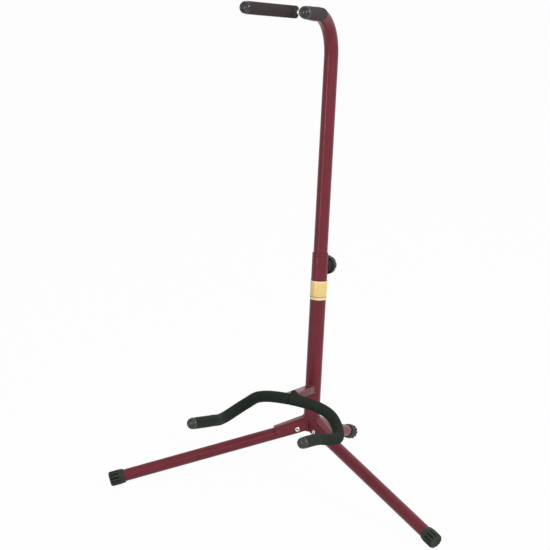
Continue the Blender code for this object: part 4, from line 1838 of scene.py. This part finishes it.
        def grooves(angle: float, along: float, radius: float) -> float:
            """Sink the grooves between the ribs, out through the foot's end.

            Args:
                angle: The angle round the foot.
                along: The distance from its mouth.
                radius: The plain radius.

            Returns:
                The radius there.
            """
            inside = radius < self.foot_radius - self.foot_edge / 2
            if along < start or (inside and along < length - self.foot_round):
                return radius
            pitch = math.tau / self.foot_ribs
            away = abs((angle / pitch) % 1.0 - 0.5) * pitch * radius
            across = max(0.0, 1 - (away / (self.groove_width / 2)) ** 2)
            ease = min(1.0, (along - start) / self.groove_ease,
                       (radius - least) / self.groove_ease)
            return radius - self.groove_depth * across * max(0.0, ease)

        foot = turned("foot", OUTWARD, stationed(profile, self.foot_step, False), False,
                      self.foot_ribs * self.rib_sides, grooves)
        foot = placed(foot, self.place @ Matrix.Translation((end - length, 0, 0)))
        for vertex in foot.vertices:
            vertex.co.z = max(vertex.co.z, 0.0)
        name = self.side.value
        shop.add(name + "_foot", foot, RUBBER, self.body, [name + "_foot_cap"])


@dataclass
class PaddedRod:
    """A bent bar with a foam sleeve and a pushed-on cap on each side."""

    rod_radius: float = 4.0 * MM
    rod_step: float = 2 * MM
    foam_radius: float = 8.8 * MM
    foam_step: float = 1.0 * MM
    bore_step: float = 4 * MM
    foam_sides: int = 72
    foam_edge: float = 1.6 * MM
    lump_size: float = 16 * MM
    lump_height: float = 0.3 * MM
    pore_size: float = 1.3 * MM
    pore_height: float = 0.22 * MM
    bulge_height: float = 0.0
    bulge_place: float = 4.0 * MM
    bulge_length: float = 7.5 * MM
    bulge_turn: float = math.radians(-50)
    cap_radius: float = 8.5 * MM
    cap_length: float = 5.0 * MM
    cap_floor: float = 2.4 * MM
    dome_share: float = 0.42
    dome_rise: float = 0.5 * MM
    dome_fall: float = 0.9 * MM

    def mirrored(self, route: Sequence[Vector]) -> List[Vector]:
        """The same route on the other side of X = 0."""
        return [Vector((-p.x, p.y, p.z)) for p in route]

    def bar_mesh(self, shop: Workshop, name: str, half: Sequence[Vector],
                 place: Matrix) -> Mesh:
        """Make the bar from half of its route, short of the caps' floors.

        Args:
            shop: Where the trees are.
            name: The mesh's name.
            half: The route, from the bar's middle to the right tip.
            place: The rod's frame.

        Returns:
            The bar, placed.
        """
        path = Path(half)
        end = path.length - self.cap_floor - GAP
        count = round(end / self.rod_step)
        right = [path.at(end * i / count)[0] for i in range(count + 1)]
        whole = [*reversed(self.mirrored(right)), *right[1:]]
        mesh = shop.trees.run(shop.trees.bar, name, line_mesh(name + "_route", whole),
                              Radius=self.rod_radius, Sides=ROD_SIDES,
                              Material=shop.wardrobe.of(PLATED))
        return placed(mesh, place)

    def sleeve_mesh(self, shop: Workshop, name: str, path: Path, start: float,
                    finish: Finish, bulge: float = 0.0) -> Mesh:
        """Make a foam sleeve with rounded ends and an uneven skin.

        Args:
            shop: Where the trees are.
            name: The mesh's name.
            path: The bar's line, from its middle out.
            start: Where the foam begins on it.
            finish: The foam's finish.
            bulge: How far its first stretch bulges up and back.

        Returns:
            The sleeve in the rod's own frame.
        """
        end = path.length - self.cap_length - GAP
        bore = self.rod_radius + GAP
        profile = filleted([
            (start, self.foam_radius, self.foam_edge), (end, self.foam_radius, self.foam_edge),
            (end, bore, 0.2 * MM), (start, bore, 0.2 * MM)], closed=True, steps=6)
        outer = [p for p in profile if p[1] > bore + 0.3 * MM]
        inner = [p for p in profile if p[1] <= bore + 0.3 * MM]
        stations = stationed(outer, self.foam_step, False)
        stations += stationed(inner, self.bore_step, False)

        def swollen(angle: float, along: float, radius: float) -> float:
            """Push the foam out near its start, on the side of the lug.

            Args:
                angle: The angle round the bar.
                along: The distance along it.
                radius: The plain radius.

            Returns:
                The radius there.
            """
            off = (along - start - self.bulge_place) / self.bulge_length
            near = math.exp(-off * off)
            beside = max(0.0, math.cos(angle - self.bulge_turn)) ** 2
            share = (radius - bore) / (self.foam_radius - bore)
            return radius + bulge * near * beside * share

        mesh = turned(name, path, stations, True, self.foam_sides, swollen)
        return shop.trees.run(shop.trees.skin, name, mesh, Lump_Size=self.lump_size,
                              Lump_Height=self.lump_height, Pore_Size=self.pore_size,
                              Pore_Height=self.pore_height,
                              Material=shop.wardrobe.of(finish))

    def cap_mesh(self, name: str, path: Path) -> Mesh:
        """Make a cap at the path's end: a rim, a ring groove and a domed middle.

        Args:
            name: The mesh's name.
            path: The bar's line.

        Returns:
            The cap in the rod's own frame.
        """
        start = path.length - self.cap_length
        top = path.length
        bore = self.rod_radius + GAP
        radius = self.cap_radius
        dome = [(top + self.dome_rise - self.dome_fall * share ** 2,
                 radius * self.dome_share * share, 0.0)
                for share in (0.0, 0.2, 0.4, 0.6, 0.8, 1.0)]
        profile = filleted([
            *dome,
            (top - 1.0 * MM, radius * 0.47, 0.3 * MM),
            (top - 1.0 * MM, radius * 0.58, 0.3 * MM),
            (top - 0.1 * MM, radius * 0.66, 0.4 * MM),
            (top - 0.7 * MM, radius - 1.2 * MM, 1.0 * MM),
            (top - 2.9 * MM, radius, 1.4 * MM),
            (start, radius, 0.3 * MM),
            (start, bore, 0.2 * MM),
            (top - self.cap_floor, bore, 0.1 * MM),
            (top - self.cap_floor, 0, 0)], closed=False, steps=5)
        return turned(name, path, profile, False, 72)

    def build(self, shop: Workshop, name: str, half: Sequence[Vector], place: Matrix,
              body: Body, starts: Tuple[float, float], finish: Finish,
              slot: Optional[Mesh] = None) -> None:
        """Make the bar, both sleeves and both caps.

        Args:
            shop: Where pieces are made.
            name: cradle or neck.
            half: Half of the bar's route, from its middle to the right tip.
            place: The rod's frame.
            body: The body that it rides on.
            starts: Where the right and the left foam begin, from the middle outwards. The
                left one may begin on the right, as a number below 0.
            finish: The foam's finish.
            slot: A cutter, in the frame, that the sleeves leave room for.
        """
        bar = self.bar_mesh(shop, name + "_bar", half, place)
        node = "cradle_rod" if name == "cradle" else "neck_yoke_rod"
        shop.add(name + "_bar", bar, PLATED, body, [node])
        mirror = self.mirrored(half)
        for side, route, other, start in (("right", list(half), mirror, starts[0]),
                                          ("left", mirror, list(half), starts[1])):
            path = Path(route, Vector((0, 0, 1)))
            foam_name = f"{side}_{name}_foam"
            if start < 0:
                lead = [p for p in other[1:] if abs(p.x) < -4 * start]
                longer = Path([*reversed(lead), *route], Vector((0, 0, 1)))
                shift = longer.length - path.length
                foam = self.sleeve_mesh(shop, foam_name, longer, start + shift, finish)
            else:
                foam = self.sleeve_mesh(shop, foam_name, path, start, finish,
                                        self.bulge_height)
            foam = placed(foam, place)
            if slot is not None:
                foam = carved(foam, slot)
            piece = shop.add(foam_name, foam, finish, body, [f"{side}_{name}_sleeve"])
            cap = placed(self.cap_mesh(f"{side}_{name}_tip", path), place)
            shop.add(f"{side}_{name}_tip", cap, GLOSSY, body, [f"{side}_{name}_cap"])


@dataclass
class Cradle:
    """The lug on the mast's front and the padded rod that it carries."""

    root_height: float = 60.5 * MM
    rise: float = math.radians(4.7)
    reach: float = 117.5 * MM
    width: float = 16.0 * MM
    depth: float = 8.0 * MM
    skirt: float = 3.0 * MM
    sheet: float = 1.6 * MM
    sheet_edge: float = 0.35 * MM
    bend: float = 2.0 * MM
    weld_radius: float = 1.2 * MM
    joint: float = 9.6 * MM
    route_steps: int = 20
    route: Tuple[Point3, ...] = (
        (0, 0, 0), (45, 12.5, -9.7), (72.5, 21.5, -28.5), (96, -13.5, -44),
        (87.5, -70.5, -25.8), (90, -136.5, -6.2))

    def half_route(self) -> List[Vector]:
        """Lay the smooth curve through the route's points, mirrored at its start.

        Returns:
            The curve's points, from the rod's middle to its right tip.
        """
        points = [Vector(p) * MM for p in self.route]
        first = Vector((-points[1].x, points[1].y, points[1].z))
        padded = [first, *points, 2 * points[-1] - points[-2]]
        curve = []
        for i in range(len(points) - 1):
            a, b, c, d = padded[i:i + 4]
            for j in range(self.route_steps):
                t = j / self.route_steps
                curve.append((2 * b + (c - a) * t + (2 * a - 5 * b + 4 * c - d) * t * t
                              + (3 * b - a - 3 * c + d) * t * t * t) / 2)
        curve.append(points[-1])
        return curve

    def build(self, shop: Workshop, mast: LowerMast, rod: PaddedRod) -> None:
        """Make the lug, its weld and the padded rod.

        Args:
            shop: Where pieces are made.
            mast: The mast that carries the lug.
            rod: The rod's sizes.
        """
        height = self.root_height - mast.radius * math.tan(self.rise)
        root = (mast.hub @ Matrix.Translation((0, 0, height))
                @ Matrix.Rotation(-self.rise, 4, "X"))
        forward = root @ Matrix.Rotation(-math.pi / 2, 4, "Z")
        end = Matrix.Translation(forward @ Vector((self.reach, 0, 0)))
        length = self.reach - rod.rod_radius / 2
        half = self.width / 2
        low = -self.depth / 2 - self.skirt
        outline = channel_outline(half, self.depth / 2, low, self.sheet, self.bend)
        curve = self.half_route()
        near = [p for p in curve if p.x < 2 * self.width]
        across = Path([*reversed(rod.mirrored(near)), *near[1:]], Vector((0, 0, 1)))
        radius = rod.rod_radius + GAP
        space = turned("rod_space", across, stationed(
            [(0, 0), (0, radius), (across.length, radius), (across.length, 0)],
            rod.rod_step, False), False, 32)
        lug = carved(placed(prism("lug", outline, 0, length, self.sheet_edge), forward),
                     mast.space(), placed(space, end))
        shop.add("lug_bracket", lug, PAINT, Body.MAST_BASE, ["cradle_lug"])
        shop.bead("lug_weld", [mast.trace(forward, outer_points(outline))],
                  Body.MAST_BASE, self.weld_radius)

        slack = 2 * GAP
        top = self.depth / 2 + slack
        square = [(-half - slack, low - slack), (half + slack, low - slack),
                  (half + slack, top), (-half - slack, top)]
        slot = placed(prism("lug_slot", square, 0, length + slack), forward)
        starts = (self.joint + GAP / 2, GAP / 2 - self.joint)
        rod.build(shop, "cradle", curve, end, Body.MAST_BASE, starts, CRADLE_FOAM, slot)


@dataclass
class UpperMast:
    """The bent tube that slides in the lower one, with its plug and the neck yoke."""

    radius: float = 11.0 * MM
    wall: float = 1.2 * MM
    bottom: float = 206.0 * MM
    bend_start: float = 581.3 * MM
    bend_radius: float = 70.0 * MM
    bend_angle: float = math.radians(85.8)
    bend_steps: int = 48
    top_run: float = 46.0 * MM
    tube_step: float = 2.0 * MM
    mouth_radius: float = 8.7 * MM
    mouth_taper: float = 34.0 * MM
    plug_depth: float = 9.0 * MM
    weld_steps: int = 14
    weld_height: float = 9 * MM
    weld_sink: float = 0.4 * MM
    weld_radius: float = 1.0 * MM
    yoke_base: float = 32.0 * MM
    yoke_tip: float = 47.0 * MM
    yoke_depth: float = 114.0 * MM
    yoke_rise: float = math.radians(1.0)
    yoke_corner: float = 18.0 * MM
    yoke_lift: float = 1.0 * MM
    sleeve_start: float = 12.5 * MM

    def yoke_route(self) -> List[Vector]:
        """Lay half of the yoke's bar: out from the middle, round the corner and forward.

        Returns:
            The points, from the middle to the right tip.
        """
        run = self.yoke_depth - self.yoke_corner
        flare = math.atan2(self.yoke_tip - self.yoke_base, run)
        middle = (self.yoke_base - self.yoke_corner, -self.yoke_corner)
        corner = arc(middle, self.yoke_corner, math.pi / 2, flare, 24)
        last = corner[-1]
        prong = (self.yoke_depth + last[1]) / math.cos(flare)
        tip = (last[0] + prong * math.sin(flare), last[1] - prong * math.cos(flare))
        return [Vector((x, y, 0)) for x, y in [(0, 0), *corner, tip]]

    def build(self, shop: Workshop, hub: Matrix, rod: PaddedRod) -> None:
        """Make the tube, its plug, the yoke's weld and the padded yoke.

        Args:
            shop: Where pieces are made.
            hub: The mast's frame.
            rod: The yoke's sizes.
        """
        bend = arc((-self.bend_radius, self.bend_start), self.bend_radius, 0,
                   self.bend_angle, self.bend_steps)
        heading = Vector((0, -math.sin(self.bend_angle), math.cos(self.bend_angle)))
        yoke_place = Vector((0, *bend[-1])) + heading * self.top_run
        tube_end = yoke_place - heading * (rod.rod_radius + GAP)
        axis = Path([Vector((0, 0, self.bottom)), *[Vector((0, y, z)) for y, z in bend],
                     tube_end])

        def mouth(angle: float, along: float, radius: float) -> float:
            """Draw the tube in a little towards its front end.

            Args:
                angle: The angle round the tube; not used.
                along: The distance along it.
                radius: The plain radius.

            Returns:
                The radius there.
            """
            past = max(0.0, 1 - (axis.length - along) / self.mouth_taper)
            return radius - (self.radius - self.mouth_radius) * past * past * (3 - 2 * past)

        tube = turned("upper_mast_pipe", axis, stationed(tube_profile(
            0.0, axis.length, self.radius, self.radius - self.wall, 0.3 * MM),
            self.tube_step, True), True, 72, mouth)
        shop.add("upper_mast_pipe", placed(tube, hub), PAINT, Body.UPPER_MAST,
                 ["upper_mast_tube"])

        front = (hub @ Matrix.Translation(yoke_place)
                 @ Matrix.Rotation(self.bend_angle - math.pi / 2, 4, "X"))
        back = front @ Matrix.Rotation(-math.pi / 2, 4, "X")
        start = rod.rod_radius + GAP
        inside = self.mouth_radius - self.wall - GAP
        plug = turned("neck_plug", UPRIGHT, filleted([
            (start, 0, 0), (start, inside, 0.8 * MM),
            (start + self.plug_depth, inside, 0.5 * MM),
            (start + self.plug_depth, 0, 0)], closed=False), False, ROUND_SIDES)
        shop.add("neck_plug", placed(plug, back), GRAINED, Body.UPPER_MAST,
                 ["neck_tube_plug"])

        welds = []
        for sign in (1, -1):
            line = []
            for i in range(self.weld_steps + 1):
                height = self.yoke_lift + (i / self.weld_steps - 0.5) * self.weld_height
                x = sign * math.sqrt(self.mouth_radius ** 2 - height ** 2)
                line.append(front @ Vector((x, start - self.weld_sink, height)))
            welds.append(line)
        shop.bead("yoke_weld", welds, Body.UPPER_MAST, self.weld_radius)
        yoke = (front @ Matrix.Translation((0, 0, self.yoke_lift))
                @ Matrix.Rotation(-self.yoke_rise, 4, "X"))
        starts = (self.sleeve_start, self.sleeve_start)
        rod.build(shop, "neck", self.yoke_route(), yoke, Body.UPPER_MAST, starts, NECK_FOAM)


@dataclass(frozen=True)
class SoftLight:
    """A lamp like a white window: its place, its width and height, and its watts."""

    name: str
    place: Point3
    width: float
    height: float
    power: float


@dataclass
class Studio:
    """The camera, the pale floor and the soft lights."""

    view_azimuth: float = math.radians(24.312)
    view_elevation: float = math.radians(18.27)
    view_distance: float = 3.088
    view_target: Point3 = (-0.05246, 0.01099, 0.33751)
    lens: float = 130.35
    sensor: float = 36.0
    clip_end: float = 100.0
    floor_size: float = 12.0
    floor_colour: Point3 = (0.86, 0.86, 0.86)
    shadow_share: float = 0.035
    world_light: float = 0.40
    light_target: Point3 = (0, 0, 0.35)
    lights: Tuple[SoftLight, ...] = (
        SoftLight("key_light", (-0.8, -2.2, 0.9), 0.4, 1.6, 13.0),
        SoftLight("side_light", (2.3, -0.3, 1.9), 1.0, 1.2, 38.0),
        SoftLight("front_light", (1.9, -2.2, 1.7), 1.2, 1.2, 24.0),
        SoftLight("back_light", (-0.9, 2.3, 2.2), 1.2, 1.2, 6.0))

    def build(self) -> None:
        """Set up the camera, the floor, the world and the lights."""
        scene = bpy.context.scene
        scene.view_settings.view_transform = "Standard"
        self.build_camera(scene)
        self.build_floor()
        self.build_world(scene)
        for light in self.lights:
            self.hang(light)

    def build_camera(self, scene: bpy.types.Scene) -> None:
        """Look at the stand from the photograph's angle.

        Args:
            scene: The scene that gets the camera.
        """
        target = Vector(self.view_target)
        level = math.cos(self.view_elevation)
        back = Vector((math.sin(self.view_azimuth) * level,
                       -math.cos(self.view_azimuth) * level, math.sin(self.view_elevation)))
        data = bpy.data.cameras.new("photo_view")
        data.lens = self.lens
        data.sensor_width = self.sensor
        data.clip_end = self.clip_end
        camera = bpy.data.objects.new("photo_view", data)
        camera.location = target + back * self.view_distance
        camera.rotation_euler = (-back).to_track_quat("-Z", "Y").to_euler()
        scene.collection.objects.link(camera)
        scene.camera = camera

    def build_floor(self) -> None:
        """Make the pale floor, nearly white to the camera, with the stand's soft shadow."""
        half = self.floor_size / 2
        shape = bmesh.new()
        corners = [shape.verts.new((x, y, 0.0)) for x, y in
                   ((-half, -half), (half, -half), (half, half), (-half, half))]
        shape.faces.new(corners)
        mesh = bpy.data.meshes.new("studio_floor")
        shape.to_mesh(mesh)
        shape.free()
        floor = bpy.data.objects.new("studio_floor", mesh)
        bpy.context.scene.collection.objects.link(floor)
        material = bpy.data.materials.new("studio_floor")
        material.use_nodes = True
        tree = material.node_tree
        tree.nodes.clear()
        w = Wiring(tree)
        matt = w.add("ShaderNodeBsdfDiffuse", {"Color": rgba(self.floor_colour)})
        glow = w.add("ShaderNodeEmission", {"Color": (1, 1, 1, 1), "Strength": 1.0})
        path = w.add("ShaderNodeLightPath")
        seen = w.math("MAXIMUM", path.outputs["Is Camera Ray"],
                      path.outputs["Is Glossy Ray"])
        share = w.math("MULTIPLY", seen, 1.0 - self.shadow_share)
        mixed = w.add("ShaderNodeMixShader", {
            0: share, 1: matt.outputs[0], 2: glow.outputs[0]})
        w.add("ShaderNodeOutputMaterial", {"Surface": mixed.outputs[0]})
        mesh.materials.append(material)

    def build_world(self, scene: bpy.types.Scene) -> None:
        """Light the room evenly, and show white to the camera and in reflections.

        Args:
            scene: The scene that gets the world.
        """
        world = bpy.data.worlds.new("studio")
        world.use_nodes = True
        scene.world = world
        world.node_tree.nodes.clear()
        w = Wiring(world.node_tree)
        path = w.add("ShaderNodeLightPath")
        seen = w.math("MAXIMUM", path.outputs["Is Camera Ray"],
                      w.math("MAXIMUM", path.outputs["Is Glossy Ray"],
                             path.outputs["Is Transmission Ray"]))
        strength = w.math("MULTIPLY_ADD", seen, 1.0 - self.world_light, self.world_light)
        glow = w.add("ShaderNodeBackground", {"Color": (1, 1, 1, 1), "Strength": strength})
        w.add("ShaderNodeOutputWorld", {"Surface": glow.outputs[0]})

    def hang(self, light: SoftLight) -> None:
        """Hang a soft light that faces the stand's middle.

        Args:
            light: The light.
        """
        data = bpy.data.lights.new(light.name, "AREA")
        data.shape = "RECTANGLE"
        data.size = light.width
        data.size_y = light.height
        data.energy = light.power
        lamp = bpy.data.objects.new(light.name, data)
        lamp.location = light.place
        aim = Vector(self.light_target) - Vector(light.place)
        lamp.rotation_euler = aim.to_track_quat("-Z", "Y").to_euler()
        bpy.context.scene.collection.objects.link(lamp)


def main() -> None:
    """Build the studio and every sub-assembly in order."""
    logging.basicConfig(level=logging.INFO, format="%(name)s %(message)s")
    Studio().build()
    shop = Workshop()
    mast = LowerMast()
    mast.build(shop)
    Clamp().build(shop, mast)
    for side, body in ((Side.LEFT, Body.LEFT_LEG), (Side.RIGHT, Body.RIGHT_LEG),
                       (Side.REAR, Body.REAR_LEG)):
        Leg(side, body, mast).build(shop)
    Cradle().build(shop, mast, PaddedRod(bulge_height=7.0 * MM))
    UpperMast().build(shop, mast.hub, PaddedRod(foam_radius=9.5 * MM, cap_radius=9.1 * MM,
                                                foam_edge=3.2 * MM))


if __name__ == "__main__":
    main()
